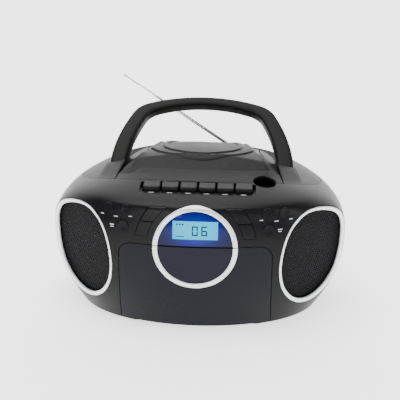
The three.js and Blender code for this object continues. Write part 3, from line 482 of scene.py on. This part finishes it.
def screen():
    """The lit screen: cyan, a little brighter in the middle, with a faint cell grid."""
    f = Finish("lit screen", Roughness=0.5, Specular_IOR_Level=0.1)
    x, _, z = f.axes()
    dim = (x * x * 500.0 + (z - 0.1234) * (z - 0.1234) * 1500.0).clamp()
    grid = (z * 9000.0).op("SINE") * 0.04 + (x * 9000.0).op("SINE") * 0.04
    f.shade(dim + grid, (0.01, 0.60, 0.85), (0.0, 0.30, 0.85), "Emission Color")
    f.shade(dim, (0.02, 0.06, 0.08), (0.01, 0.04, 0.08))
    f.main.inputs["Emission Strength"].default_value = 1.5
    return f.material


def speaker_cone():
    """Pressed paper: fine rings about each side's own axis, read from the distance to the dust cap."""
    f = Finish("paper cone")
    x, y, z = f.axes()
    far = (x.op("ABSOLUTE") - 0.118) * (x.op("ABSOLUTE") - 0.118) + (z - 0.083) * (z - 0.083)
    ring = (far.op("SQRT") * 2400.0).op("SINE") * 0.5 + 0.5
    f.shade(ring, (0.018, 0.018, 0.019), (0.045, 0.045, 0.048))
    f.feed("Roughness", f.noise(120.0) * 0.2 + 0.55)
    f.bump(ring, 0.2)
    return f.material


cabinet = moulded("charcoal shell", (0.0060, 0.0060, 0.0068), 0.34)
cover = moulded("charcoal top", (0.006, 0.006, 0.0068), 0.40)
door_finish = moulded("blue grey door", (0.0062, 0.0062, 0.0100), 0.28)
inlay_finish = moulded("smooth inlay", (0.0075, 0.0075, 0.0165), 0.22, depth=0.03)
handle_finish = moulded("olive black handle", (0.0080, 0.0086, 0.0078), 0.44, grain=1800.0, depth=0.25)
control = moulded("control black", (0.0062, 0.0062, 0.0070), 0.34)
mark = moulded("printed mark", (0.80, 0.81, 0.83), 0.5, depth=0.02)
ink = moulded("screen segment", (0.004, 0.02, 0.07), 0.6, depth=0.02)
silver = metal("silver lacquer", (0.92, 0.93, 0.95), 0.28, 0.3)
chrome = metal("chrome", (0.92, 0.92, 0.94), 0.22)
steel = metal("zinc plate", (0.52, 0.52, 0.53), 0.35)
brass = metal("brass", (0.72, 0.52, 0.24), 0.3)
mesh_paint = moulded("black grille paint", (0.010, 0.010, 0.011), 0.55, grain=900.0, depth=0.05, shine=0.05)
rubber = moulded("rubber", (0.012, 0.012, 0.012), 0.8, grain=700.0)
acetal = moulded("black acetal", (0.03, 0.03, 0.032), 0.4)
white_acetal = moulded("white acetal", (0.7, 0.69, 0.64), 0.45)
laminate = moulded("green laminate", (0.03, 0.14, 0.06), 0.5, grain=300.0)
window_finish, screen_finish, cone = window(), screen(), speaker_cone()
print(len(bpy.data.materials), "finishes")

# %% [markdown]
# ## The solids that stay
# The inner walls, the mechanism and the boards are shown as they are, each in its own finish.

# %% Finishes on the solids
BY_SLOT = {"cabinet": cabinet, "top": cover, "door": door_finish, "inlay": inlay_finish,
           "handle": handle_finish, "controls": control, "ring": silver, "grille": mesh_paint, "cone": cone,
           "lens": window_finish, "screen": screen_finish, "rubber": rubber, "chrome": chrome,
           "steel": steel, "moving": acetal, "reel": white_acetal, "board": laminate, "brass": brass}
slot_of = {s["node"]: s["material_slot"] for s in frame["record"]["subparts"]}
for name, node in frame["nodes"].items():
    node.data.materials.clear()
    node.data.materials.append(BY_SLOT[slot_of[name]])
    node.data.polygons.foreach_set("use_smooth", [True] * len(node.data.polygons))
    node.data.set_sharp_from_angle(angle=math.radians(28))

# %% [markdown]
# ## The front cabinet
# On the machine this is one moulding: a bowed face that turns over a brow into the step for the keys.
# It could be modelled from panels, but a single net cut by its own part lines keeps the highlights
# running unbroken from one side to the other.

# %% Front cabinet skin
SPLIT = 10.0


def in_stages(body, *rules):
    """Cuts a net by one rule after another, so that each outline stays crisp where two of them meet."""
    for rule in rules:
        body = clip(body, rule)
    return body


front = wrap(np.pi, 2 * np.pi, 420, 170)
back = wrap(0, np.pi, 260, 120)
lower_edge = in_stages(back, lambda p: SPLIT - 0.2 - p[:, 1])
front = merged(front, lower_edge)
front = in_stages(
    front, lambda p: SPLIT - 0.2 - p[:, 1], in_facets, lambda p: -in_cover(p, 0.2),
    lambda p: -in_door(p, 0.8), lambda p: -in_disc(p, RING_R + 0.4), lambda p: -in_trough(p),
    lambda p: -in_scoop(p), lambda p: -in_sector(p, SECTORS["lower"][0], SECTORS["upper"][1], 0.4),
    *[lambda p, x=side * x, z=z, r=r: -in_disc(p, r + 0.4, x, z)
      for x, z, r in ROUND_BUTTONS.values() for side in (-1, 1)])
piece("front_skin", shell(front, 0.5), cabinet)

# %% [markdown]
# ## The rear cabinet
# The back is the same form carried round, with a ledge near the top where the aerial folds away.

# %% Rear cabinet skin
INLET_X, INLET_Z = -60, 30
rear = in_stages(
    back, lambda p: p[:, 1] - SPLIT - 0.2, lambda p: -in_cover(p, 0.2),
    lambda p: np.maximum(np.maximum(np.abs(p[:, 0]) - 98, 103 - p[:, 1]), 118.2 - p[:, 2]),
    lambda p: np.maximum(np.maximum(np.abs(p[:, 0] - INLET_X) - 11.4, np.abs(p[:, 2] - INLET_Z) - 8.4),
                         60 - p[:, 1]))
piece("rear_skin", shell(rear, 0.5), cabinet)

# %% [markdown]
# ## The top cover
# The cover carries the disc well, the two channels that the handle folds into, and the raised pads that
# hide its hinge. Its height is found from the form, so it meets the shoulders without a step.

# %% Top cover and hinge pads
def deck_net(x0, x1, y0, y1, step=1.6):
    """A net over a rectangle of the plan, at the height of the deck."""
    x = np.linspace(x0, x1, int((x1 - x0) / step))
    y = np.linspace(y0, y1, int((y1 - y0) / step))
    gx, gy = np.meshgrid(x, y, indexing="ij")
    return net(np.stack([gx, gy, deck_at(gx, gy)], -1))


SLOT_HALF, SLOT_REAR = 68, 78  # room for the lid's rear edge as it swings down
deck = in_stages(deck_net(-138, 138, -57, 90), lambda p: in_cover(p, -0.2), lambda p: -in_lid(p, 0.8),
                 lambda p: -in_channel(p),
                 lambda p: np.maximum(np.abs(p[:, 0]) - SLOT_HALF, p[:, 1] - SLOT_REAR))
pad_u, pad_v = np.meshgrid(np.linspace(0, 1, 50), np.linspace(0, 1, 60), indexing="ij")
pad_x = (1 - pad_u) * (95.3 + (86.4 - 95.3) * pad_v) + pad_u * (118.15 + (106.5 - 118.15) * pad_v)
pad_y = (10.4 - 68 * np.sqrt(1 - (pad_x / 139) ** 3)) * (1 - pad_v) + 7.2 * pad_v
pad_edge = np.clip(np.minimum(pad_u * 14, (1 - pad_u) * 7), 0, 1)
pad_z = deck_at(pad_x, pad_y) + 5.9 * smooth(0, 1, pad_v) * np.sqrt(1 - (1 - pad_edge) ** 2) + 0.05
pad = in_stages(net(np.stack([pad_x, pad_y, pad_z], -1)), lambda p: -in_channel(p))
piece("cover_skin", merged(shell(deck, 0.5), shell(pad, 1.2), shell(flipped(pad), 1.2)), cover)

# %% [markdown]
# ## The disc lid
# A thin dome over the well. Two raised rings run round its crown, and a notch in the front edge leaves
# room for a fingertip.

# %% Lid
def lid_top(x, y):
    """The deck plus a dome that eases in from the rim, and two low rings round the spindle."""
    side = smooth(0, 15, lid_half(y) - 2 - np.abs(x))
    fore = smooth(-27, -6.5, y + 0.0012 * x * x)
    rise = 8.6 * side * fore * (1 - smooth(46, 76, y))
    arcs = 0.0
    for radius, width in ((58, 5.0), (44, 4.0)):
        r = np.hypot(x, (y - 34) * 1.25)
        arcs = arcs + 1.2 * smooth(width, width - 1.6, np.abs(r - radius))
    return deck_at(x, y) + rise + arcs


u, v = np.meshgrid(np.linspace(-1, 1, 200), np.linspace(0, 1, 150), indexing="ij")
lid_x = u * 94.1
lid_y = (10.4 - 68 * np.sqrt(np.maximum(0, 1 - (np.abs(lid_x) / 139) ** 3))) * (1 - v) + 69.6 * v
lid_x = u * (lid_half(lid_y) - 0.4)
lid_y = (10.4 - 68 * np.sqrt(np.maximum(0, 1 - (np.abs(lid_x) / 139) ** 3))) * (1 - v) + 69.6 * v
lid = net(np.stack([lid_x, lid_y, lid_top(lid_x, lid_y)], -1))
lid = in_stages(lid, lambda p: -in_scoop(p))
piece("lid_skin", shell(lid, 0.6), cover, rider="lid")

# %% [markdown]
# ## The cassette door
# The door is cut from the same form as the cabinet, so the two lie flush, and it carries the lower half
# of the trim ring with its inlay.

# %% Door, ring, window and inlay
face = wrap(np.pi * 1.08, np.pi * 1.92, 420, 200)
at_least = lambda low: (lambda p: p[:, 2] - low)
at_most = lambda high: (lambda p: high - p[:, 2])
def sunk(body, inset):
    """A net moved inward along its normals."""
    return body[0] - normals(*body) * inset, body[1]


door = in_stages(face, in_door, lambda p: -in_disc(p, RING_R + 0.4), at_least(BASE + 1.5))
piece("door_skin", shell(door, 0.5), door_finish, rider="door")
disc = in_stages(face, lambda p: in_disc(p, RING_R - RING_BAND - 0.2))
lens = in_stages(disc, at_least(DOOR_TOP + 0.8))
inlay = in_stages(disc, at_most(DOOR_TOP - 0.8))
piece("window", shell(sunk(lens, 0.4), 1.8), window_finish, instead=["display_window"])
piece("inlay", shell(sunk(inlay, 0.4), 1.8), inlay_finish, rider="door", instead=["door_inlay"])


def ring_half(start, stop):
    """A band along an arc on the face: its section is a half ellipse that stands 1.5 mm proud."""
    t = np.linspace(start, stop, 120)[:, None]
    w = np.linspace(0, 2 * np.pi, 40, endpoint=False)[None, :]
    r = RING_R - RING_BAND / 2 + RING_BAND / 2 * np.sign(np.cos(w)) * np.abs(np.cos(w)) ** 0.8
    x, z = r * np.cos(t), RING_Z + r * np.sin(t)
    y = front_at(x, z) - 1.15 * np.maximum(np.sin(w), 0) ** 0.7 - 1.8 * np.minimum(np.sin(w), 0)
    points = np.stack([x, y + 0 * r, z], -1)
    body, faces = net(points, round_v=True)
    n, last = 40, (len(t) - 1) * 40
    ends = np.array([points[0].mean(0), points[-1].mean(0)])
    k = np.arange(n)
    caps = [np.stack([(k + 1) % n, k, np.full(n, len(body))], 1),
            np.stack([last + k, last + (k + 1) % n, np.full(n, len(body) + 1)], 1)]
    return outward((np.concatenate([body, ends]), np.concatenate([faces, *caps])))


lift = math.asin((DOOR_TOP - RING_Z + 0.6) / (RING_R - RING_BAND / 2))
drop = math.asin((DOOR_TOP - RING_Z - 0.6) / (RING_R - RING_BAND / 2))
piece("upper_ring", ring_half(lift, np.pi - lift), silver, instead=["ring_upper"])
piece("lower_ring", ring_half(np.pi - drop, 2 * np.pi + drop), silver, rider="door",
      instead=["ring_lower"])

# %% [markdown]
# ## The screen
# The lit screen lies just under the tinted window's surface. Its figures are thin dark segments.

# %% Screen and figures
def on_face(x0, x1, z0, z1, inset, steps=16, lean=0.0):
    """A patch of the face between two sides and two levels, leaning to the right as it rises."""
    x, z = np.meshgrid(np.linspace(x0, x1, steps), np.linspace(z0, z1, steps), indexing="ij")
    x = x + (z - z0) * lean
    return net(np.stack([x, front_at(x, z) + inset, z], -1))


def patch(x0, x1, z0, z1, inset, lean=0.0, thick=0.1):
    return shell(on_face(x0, x1, z0, z1, inset, 5, lean), thick)


glass = shell(on_face(-24.8, 24.8, 113.4, 133.4, 0.22, 40), 1.0)
piece("lit_screen", glass, screen_finish, instead=["display_module"])
SEGMENTS = {"top": (0, 1, 1), "middle": (0, 0.5, 1), "bottom": (0, 0, 1), "left up": (0, 0.5, 0),
            "left down": (0, 0, 0), "right up": (1, 0.5, 0), "right down": (1, 0, 0)}


def figure(x, z, lit, width=6.4, height=10.6, bar=1.35):
    """A seven-segment figure: each segment is a level bar or an upright one of half the height."""
    parts = []
    for name in lit:
        right, up, level_bar = SEGMENTS[name]
        if level_bar:
            foot = z + up * (height - bar)
            parts.append(patch(x + 0.4, x + width - 0.4, foot, foot + bar, 0.12))
        else:
            left = x + right * (width - bar)
            foot = z + up * height
            parts.append(patch(left, left + bar, foot + 0.3, foot + height / 2 - 0.3, 0.12))
    return parts


zero = [s for s in SEGMENTS if s != "middle"]
six = [s for s in SEGMENTS if s != "right up"]
small = [patch(-21 + k * 3.2, -19.2 + k * 3.2, 129, 130.6, 0.12) for k in range(3)]
under = [patch(-21, -12, 116.2, 117, 0.12)]
segments = merged(*figure(-3.6, 117.6, zero), *figure(6.6, 117.6, six), *small, *under)
piece("screen_segments", segments, ink)

# %% [markdown]
# ## The speakers
# Each facet carries an oval trim ring, a perforated grille and, behind it, the driver. The oval is where
# the facet's plane leaves the cabinet's form, so it is found and not drawn.

# %% Speaker parts
ACROSS = np.array([math.cos(math.radians(46.3)), math.sin(math.radians(46.3)), 0.0])
UP = np.cross(FACET, ACROSS)
UP = UP if UP[2] > 0 else -UP
MIDDLE = np.array([130, -63.5, 82.0])
MIDDLE = MIDDLE + FACET * (130.5 - MIDDLE @ FACET)


def reach_at(t):
    """Distance from the facet's middle to the oval, by halving."""
    way = np.cos(t)[:, None] * ACROSS + np.sin(t)[:, None] * UP
    low, high = np.zeros(len(t)), np.full(len(t), 120.0)
    for _ in range(40):
        mid = (low + high) / 2
        p = MIDDLE + way * mid[:, None]
        out = (beyond(p[:, 0], p[:, 1], np.clip(p[:, 2], BASE, CROWN - 0.1)) > 0) | (p[:, 2] < BASE)
        high, low = np.where(out, mid, high), np.where(out, low, mid)
    return low


def raised(t, inset, height):
    """Points beside the oval: inset from it and above the facet's plane."""
    r = (reach_at(t) - inset)[:, None]
    around = np.cos(t)[:, None] * ACROSS + np.sin(t)[:, None] * UP
    return MIDDLE + r * around + FACET * np.reshape(height, (-1, 1))


bearing = np.linspace(0, 2 * np.pi, 160, endpoint=False)
band = 4.6 + 1.7 * np.cos(bearing + 0.5)
section = np.linspace(0, 2 * np.pi, 28, endpoint=False)
rows = []
for w in section:
    across = 0.5 - 0.5 * np.sign(math.cos(w)) * abs(math.cos(w)) ** 0.7
    lift_by = 1.1 * abs(math.sin(w)) ** 0.7 if math.sin(w) > 0 else -2.6 * abs(math.sin(w)) ** 0.7
    rows.append(raised(bearing, 0.9 + band * across, np.full(len(bearing), lift_by - 0.2)))
trim = outward(net(np.stack(rows), round_u=True, round_v=True))


def weld(body):
    """Joins points that lie together and drops the triangles that this empties."""
    key = np.round(body[0], 3)
    _, first, place = np.unique(key, axis=0, return_index=True, return_inverse=True)
    faces = place.ravel()[body[1]]
    good = (faces[:, 0] != faces[:, 1]) & (faces[:, 1] != faces[:, 2]) & (faces[:, 2] != faces[:, 0])
    return body[0][first], faces[good]


PITCH, HOLE = 3.2, 1.08


def perforated():
    """A sheet of six-sided cells, each with a round hole: twelve points on the cell's edge are joined to
    twelve on the hole. The sheet domes by a millimetre."""
    k = np.arange(12)
    corner = PITCH / math.sqrt(3)
    edge = np.where(k % 2 == 0, corner, PITCH / 2)
    spin = np.pi / 6 * k + np.pi / 6
    rim = np.stack([edge * np.cos(spin), edge * np.sin(spin)], 1)
    hole = np.stack([HOLE * np.cos(spin), HOLE * np.sin(spin)], 1)
    cells = []
    for row in range(-20, 21):
        for col in range(-20, 21):
            a, b = (col + 0.5 * (row % 2)) * PITCH, row * PITCH * math.sqrt(3) / 2
            if math.hypot(a, b) < reach_at(np.array([math.atan2(b, a)]))[0] + 2:
                cells.append((a, b))
    flat, faces = [], []
    for a, b in cells:
        start = 24 * len(flat)
        flat.append(np.concatenate([rim, hole]) + [a, b])
        n = (k + 1) % 12
        faces += [np.stack([k, n, n + 12], 1) + start, np.stack([k, n + 12, k + 12], 1) + start]
    flat = np.concatenate(flat)
    far = np.hypot(*flat.T)
    height = -3.6 + 1.0 * (1 - (far / 55) ** 2)
    points = MIDDLE + flat[:, :1] * ACROSS + flat[:, 1:] * UP + height[:, None] * FACET
    return weld((points, np.concatenate(faces)))


def in_oval(p, inset):
    """Above zero inside the oval: its reach less the distance from the middle."""
    a, b = (p - MIDDLE) @ ACROSS, (p - MIDDLE) @ UP
    t = np.arctan2(b, a)
    return reach_at(t) - inset(t) - np.hypot(a, b)


sheet = perforated()
sheet = clip(sheet, lambda p: in_oval(p, lambda t: 0.9 + 4.6 + 1.7 * np.cos(t + 0.5) - 0.5))
if (normals(*sheet) @ FACET).mean() < 0:
    sheet = sheet[0], sheet[1][:, ::-1]
sheet = shell(sheet, 0.7)
baffle = np.stack([raised(bearing, 1.6, np.full(len(bearing), -7.2)),
                   MIDDLE + 41.0 * (np.cos(bearing)[:, None] * ACROSS + np.sin(bearing)[:, None] * UP)
                   - 7.2 * FACET])
baffle = net(baffle, round_v=True)
if (normals(*baffle) @ FACET).mean() < 0:
    baffle = baffle[0], baffle[1][:, ::-1]
baffle = shell(baffle, 2.0)
roll = [(39.4 + 2.0 * math.cos(a), 0.2 + 1.6 * math.sin(a)) for a in np.linspace(0, np.pi, 9)]
paper = [(36.8 - k * 2.3, -0.6 - k * 1.24) for k in range(11)]
cap = [(13.4 * math.cos(a), -13.2 + 4.4 * math.sin(a)) for a in np.linspace(0, np.pi / 2, 12)]
profile = [(0, -36), (26.6, -36), (26.9, -35.6), (26.9, -22.4), (24, -22), (41.6, -3), (41.6, 0),
           *roll, *paper, *cap]
driver = turned(profile, MIDDLE - 6.2 * FACET, FACET, 96)
driver = outward(weld(driver))
for hand, turn_over in (("right", lambda body: body), ("left", flipped)):
    piece(f"speaker_trim_{hand}", turn_over(trim), silver, instead=[f"speaker_ring_{hand}"])
    piece(f"speaker_grille_{hand}", turn_over(sheet), mesh_paint,
          instead=[f"speaker_grille_{hand}"])
    piece(f"speaker_baffle_{hand}", turn_over(baffle), cabinet)
    piece(f"speaker_driver_{hand}", turn_over(driver), cone, instead=[f"speaker_driver_{hand}"])
print(len(sheet[1]), "triangles in a grille")

# %% [markdown]
# ## The controls
# The round buttons follow the face and are slightly dished. The curved ones share an outline with the
# trim ring. The keys are soft-edged blocks that slope down to the front.

# %% Buttons and keys
def round_button(x0, z0, r):
    """Face rows from the middle out, with a rounded rim and a shallow dish, then a wall back into the
    hole."""
    t = np.linspace(0, 2 * np.pi, 48, endpoint=False)[None, :]
    flat, edge = np.linspace(0.02, r - 0.8, 10), r - 0.8 + 0.8 * np.sin(np.linspace(0.2, np.pi / 2, 8))
    rr = np.concatenate([flat, edge])[:, None]
    x, z = x0 + rr * np.cos(t), z0 + rr * np.sin(t)
    rim = np.sqrt(np.clip(1 - (np.maximum(0, rr - (r - 0.8)) / 0.8) ** 2, 0, 1))
    y = front_at(x, z) - 0.95 * rim + 0.45 * np.maximum(0, 1 - (rr / (r - 0.9)) ** 2) * (rr < r - 0.9)
    back = np.full((1, 48), front_at(np.array(x0), np.array(z0)) + 5.6)
    x, z = np.concatenate([x, x[-1:], x[-1:] * 0 + x0]), np.concatenate([z, z[-1:], z[-1:] * 0 + z0])
    y = np.concatenate([y, back, back])
    return outward(weld(net(np.stack([x, y, z], -1), round_v=True)))


def curved_button(low, high):
    """A patch between two arcs and two levels. It rises over its rim along a quarter circle."""
    r, z = np.meshgrid(np.linspace(54.2, 67.4, 44), np.linspace(low, high, 44), indexing="ij")
    x = np.sqrt(r**2 - (z - RING_Z) ** 2)
    near = np.minimum(np.minimum(r - 54.2, 67.4 - r), np.minimum(z - low, high - z))
    y = front_at(x, z) - 0.95 * np.sqrt(1 - (1 - np.clip(near / 0.9, 0, 1)) ** 2)
    return shell(net(np.stack([x, y, z], -1)), 4.0)


for hand, side in (("left", -1), ("right", 1)):
    for name, (x, z, r) in ROUND_BUTTONS.items():
        node = f"button_{name}_{hand}"
        piece(f"round_{name}_{hand}", round_button(side * x, z, r), control, node, [node])
    for name, (low, high) in SECTORS.items():
        node = f"button_sector_{name}_{hand}"
        body = curved_button(low, high)
        piece(f"curved_{name}_{hand}", body if side > 0 else flipped(body), control, node, [node])


def block(x0, half):
    """A key: a box whose section and outline are both high-power ovals, lower at the front on top."""
    a = np.linspace(-np.pi / 2, np.pi / 2, 40)[:, None]
    b = np.linspace(0, 2 * np.pi, 72, endpoint=False)[None, :]
    power = lambda v, e: np.sign(v) * np.abs(v) ** e
    x = half * power(np.cos(a), 0.2) * power(np.cos(b), 0.2)
    y = 7.7 * power(np.cos(a), 0.2) * power(np.sin(b), 0.2)
    z = 8.6 * power(np.sin(a), 0.2) + 0 * b
    z = z + np.where(z > 0, 0.13 * y - 0.8 + 0.5 * (x / half) ** 2, 0)
    points = np.stack([x + x0, y - 67.75, z + 152.7], -1)
    return outward(weld(net(points, round_v=True)))


for k, name in enumerate(("record", "play", "rewind", "forward", "stop", "pause")):
    key_x = (k - 2.5) * 20.4
    piece(f"{name}_key", block(key_x, 9.45), control, f"key_{name}", [f"key_{name}"])

# %% [markdown]
# ## The handle
# The handle is one hoop. Its section is swept between an outer and an inner arch, so it broadens toward
# the feet, and each foot ends in a half round on the hinge line.

# %% Handle
LEAN = math.radians(44)
PIVOT = np.array([0, 5.2, 151.2])


def hoop():
    """Rows along the arch; each row is a soft rectangle between the two arches, 18 mm deep. Below the
    axis the depth follows a half circle."""
    w = np.linspace(0, 2 * np.pi, 48, endpoint=False)[None, :]
    soft = lambda v: np.sign(v) * np.abs(v) ** 0.42
    foot = np.linspace(np.pi / 2 - 0.02, 0.1, 9)
    outer = np.concatenate([[(106.5, -9 * math.sin(a)) for a in foot], OUTER_ARCH])
    inner = np.concatenate([[(87.0, -9 * math.sin(a)) for a in foot], INNER_ARCH])
    deep = np.concatenate([9 * np.cos(foot), np.full(len(OUTER_ARCH), 9.0)])
    mirror = np.array([-1.0, 1.0])
    outer = np.concatenate([outer, (outer * mirror)[::-1][1:]])
    inner = np.concatenate([inner, (inner * mirror)[::-1][1:]])
    deep = np.concatenate([deep, deep[::-1][1:]])[:, None]
    middle, arm = (outer + inner) / 2, (outer - inner) / 2
    plane = middle[:, None, :] + arm[:, None, :] * soft(np.cos(w))[..., None]
    out = deep * soft(np.sin(w))
    up, toward = np.array([0, math.sin(LEAN), math.cos(LEAN)]), np.array([0, -math.cos(LEAN), math.sin(LEAN)])
    points = PIVOT + plane[..., :1] * [1, 0, 0] + plane[..., 1:] * up + out[..., None] * toward
    body, faces = net(points, round_v=True)
    ends = np.array([points[0].mean(0), points[-1].mean(0)])
    k, last = np.arange(48), (len(points) - 1) * 48
    caps = [np.stack([(k + 1) % 48, k, np.full(48, len(body))], 1),
            np.stack([last + k, last + (k + 1) % 48, np.full(48, len(body) + 1)], 1)]
    return outward((np.concatenate([body, ends]), np.concatenate([faces, *caps])))


piece("carrying_handle", hoop(), handle_finish, "handle", ["handle"], crease=60)

# %% [markdown]
# ## The aerial
# Three tubes slide in each other. Each is turned about the aerial's axis with its own bore, so the next
# one can move in it.

# %% Aerial
TILT = math.radians(33.4)
ROOT = np.array([72, 106.5, 124.2])
ALONG = np.array([-math.cos(TILT), 0, math.sin(TILT)])
ASIDE = np.array([-math.sin(TILT), 0, -math.cos(TILT)])
tubes = {
    "aerial_lower": [(0, 3), (1.9, 3), (2.2, 3.4), (2.2, 151.4),
                     (2.0, 152), (1.74, 152), (1.74, 13), (0, 12.6)],
    "aerial_middle": [(0, 36), (1.4, 36), (1.6, 36.4), (1.6, 185.6),
                      (1.45, 186), (1.14, 186), (1.14, 46), (0, 45.5)],
    "aerial_tip": [(0, 60), (0.9, 60), (1.0, 60.4), (1.0, 204), (1.7, 204),
                   (2.1, 204.5), (2.1, 208), (1.5, 209), (0, 209)],
}
for name, line in tubes.items():
    body = outward(weld(turned(line, ROOT, ALONG, 32)))
    if name == "aerial_lower":
        eye_line = [(0, -2.3), (3.1, -2.3), (3.4, -2.0), (3.4, 2.0), (3.1, 2.3), (0, 2.3)]
        body = merged(body, outward(weld(turned(eye_line, ROOT, ASIDE, 32))))
    piece(name, body, chrome, name, [name])

# %% [markdown]
# ## Feet and printed marks
# Four soft feet carry the machine. Small plain marks stand in for the printing beside the controls.

# %% Feet and marks
foot_line = [(0, 0), (6.6, 0), (7.4, 0.25), (7.9, 0.9), (8.0, 2.3), (7.8, 2.7), (0, 2.7)]
for end, x, y in (("front", 85, -52), ("rear", 92, 66)):
    for hand, side in (("left", -1), ("right", 1)):
        node = f"foot_{end}_{hand}"
        body = outward(weld(turned(foot_line, (side * x, y, 0), (0, 0, 1), 40)))
        piece(f"foot_{end}_{hand}", body, rubber, instead=[node])


def step_mark(x0, x1, y0, y1):
    """A mark on the level step in front of the keys."""
    x, y = np.meshgrid(np.linspace(x0, x1, 4), np.linspace(y0, y1, 4), indexing="ij")
    return shell(net(np.stack([x, y, 154.72 + 0 * x], -1)), 0.08)


marks = [step_mark((k - 2.5) * 20.4 - 3, (k - 2.5) * 20.4 + 3, -80.4, -79.4) for k in range(6)]
for side in (-1, 1):
    for x, z, half in ((88, 132.6, 2.2), (71.5, 134.5, 1.8), (92, 123.6, 2.4), (92, 121.4, 1.6),
                       (103.5, 133.5, 1.8)):
        marks.append(patch(side * x - half, side * x + half, z - 0.35, z + 0.35, -0.1))
piece("printed_marks", merged(*marks), mark)

# %% [markdown]
# ## The studio
# A pale sweep that glows a little, one large soft light above, two fills and a wash on the wall.

# %% Floor and lights
def sweep():
    """A floor that curves up into a wall: a quarter circle joins the two."""
    a = np.linspace(0, np.pi / 2, 24)
    corner = np.stack([2600 + 900 * np.sin(a), 900 - 900 * np.cos(a)], 1)
    line = np.concatenate([[(-4000, 0)], corner, [(3500, 5200)]])
    x = np.linspace(-6000, 6000, 12)
    points = np.stack([np.broadcast_to(x[:, None], (12, len(line))),
                       np.broadcast_to(line[:, 0], (12, len(line))),
                       np.broadcast_to(line[:, 1], (12, len(line)))], -1)
    return net(points)


paper_finish = Finish("backdrop paper")
paper_finish.shade(paper_finish.noise(3.0), (0.93, 0.93, 0.93), (0.96, 0.96, 0.96))
paper_finish.feed("Roughness", paper_finish.noise(40.0) * 0.1 + 0.85)
paper_finish.shade(paper_finish.noise(3.0), (0.97, 0.97, 0.97), (1.0, 1.0, 1.0), "Emission Color")
paper_finish.main.inputs["Emission Strength"].default_value = 1.7
points, faces = sweep()
mesh = bpy.data.meshes.new("backdrop")
mesh.from_pydata((points / 1000).tolist(), [], faces.tolist())
mesh.polygons.foreach_set("use_smooth", [True] * len(mesh.polygons))
mesh.materials.append(paper_finish.material)
backdrop = bpy.data.objects.new("backdrop", mesh)
bpy.context.scene.collection.objects.link(backdrop)


def soft_light(name, place, target, size, power):
    """A square light that faces a point."""
    data = bpy.data.lights.new(name, "AREA")
    data.size, data.energy = size, power
    lamp = bpy.data.objects.new(name, data)
    bpy.context.scene.collection.objects.link(lamp)
    lamp.location = place
    lamp.rotation_euler = (Vector(target) - Vector(place)).to_track_quat("-Z", "Y").to_euler()


soft_light("overhead", (-0.25, -0.15, 1.5), (0, 0, 0.1), 1.1, 24)
soft_light("front fill", (-0.5, -1.9, 0.45), (0, 0, 0.1), 0.5, 9)
soft_light("right fill", (1.4, -0.9, 0.8), (0, 0, 0.1), 0.6, 8)
soft_light("backdrop wash", (0, 1.2, 2.4), (0, 3.2, 0.8), 2.5, 60)
world = bpy.context.scene.world or bpy.data.worlds.new("world")
bpy.context.scene.world = world
world.use_nodes = True
world.node_tree.nodes["Background"].inputs[0].default_value = (1, 1, 1, 1)
world.node_tree.nodes["Background"].inputs[1].default_value = 0.25
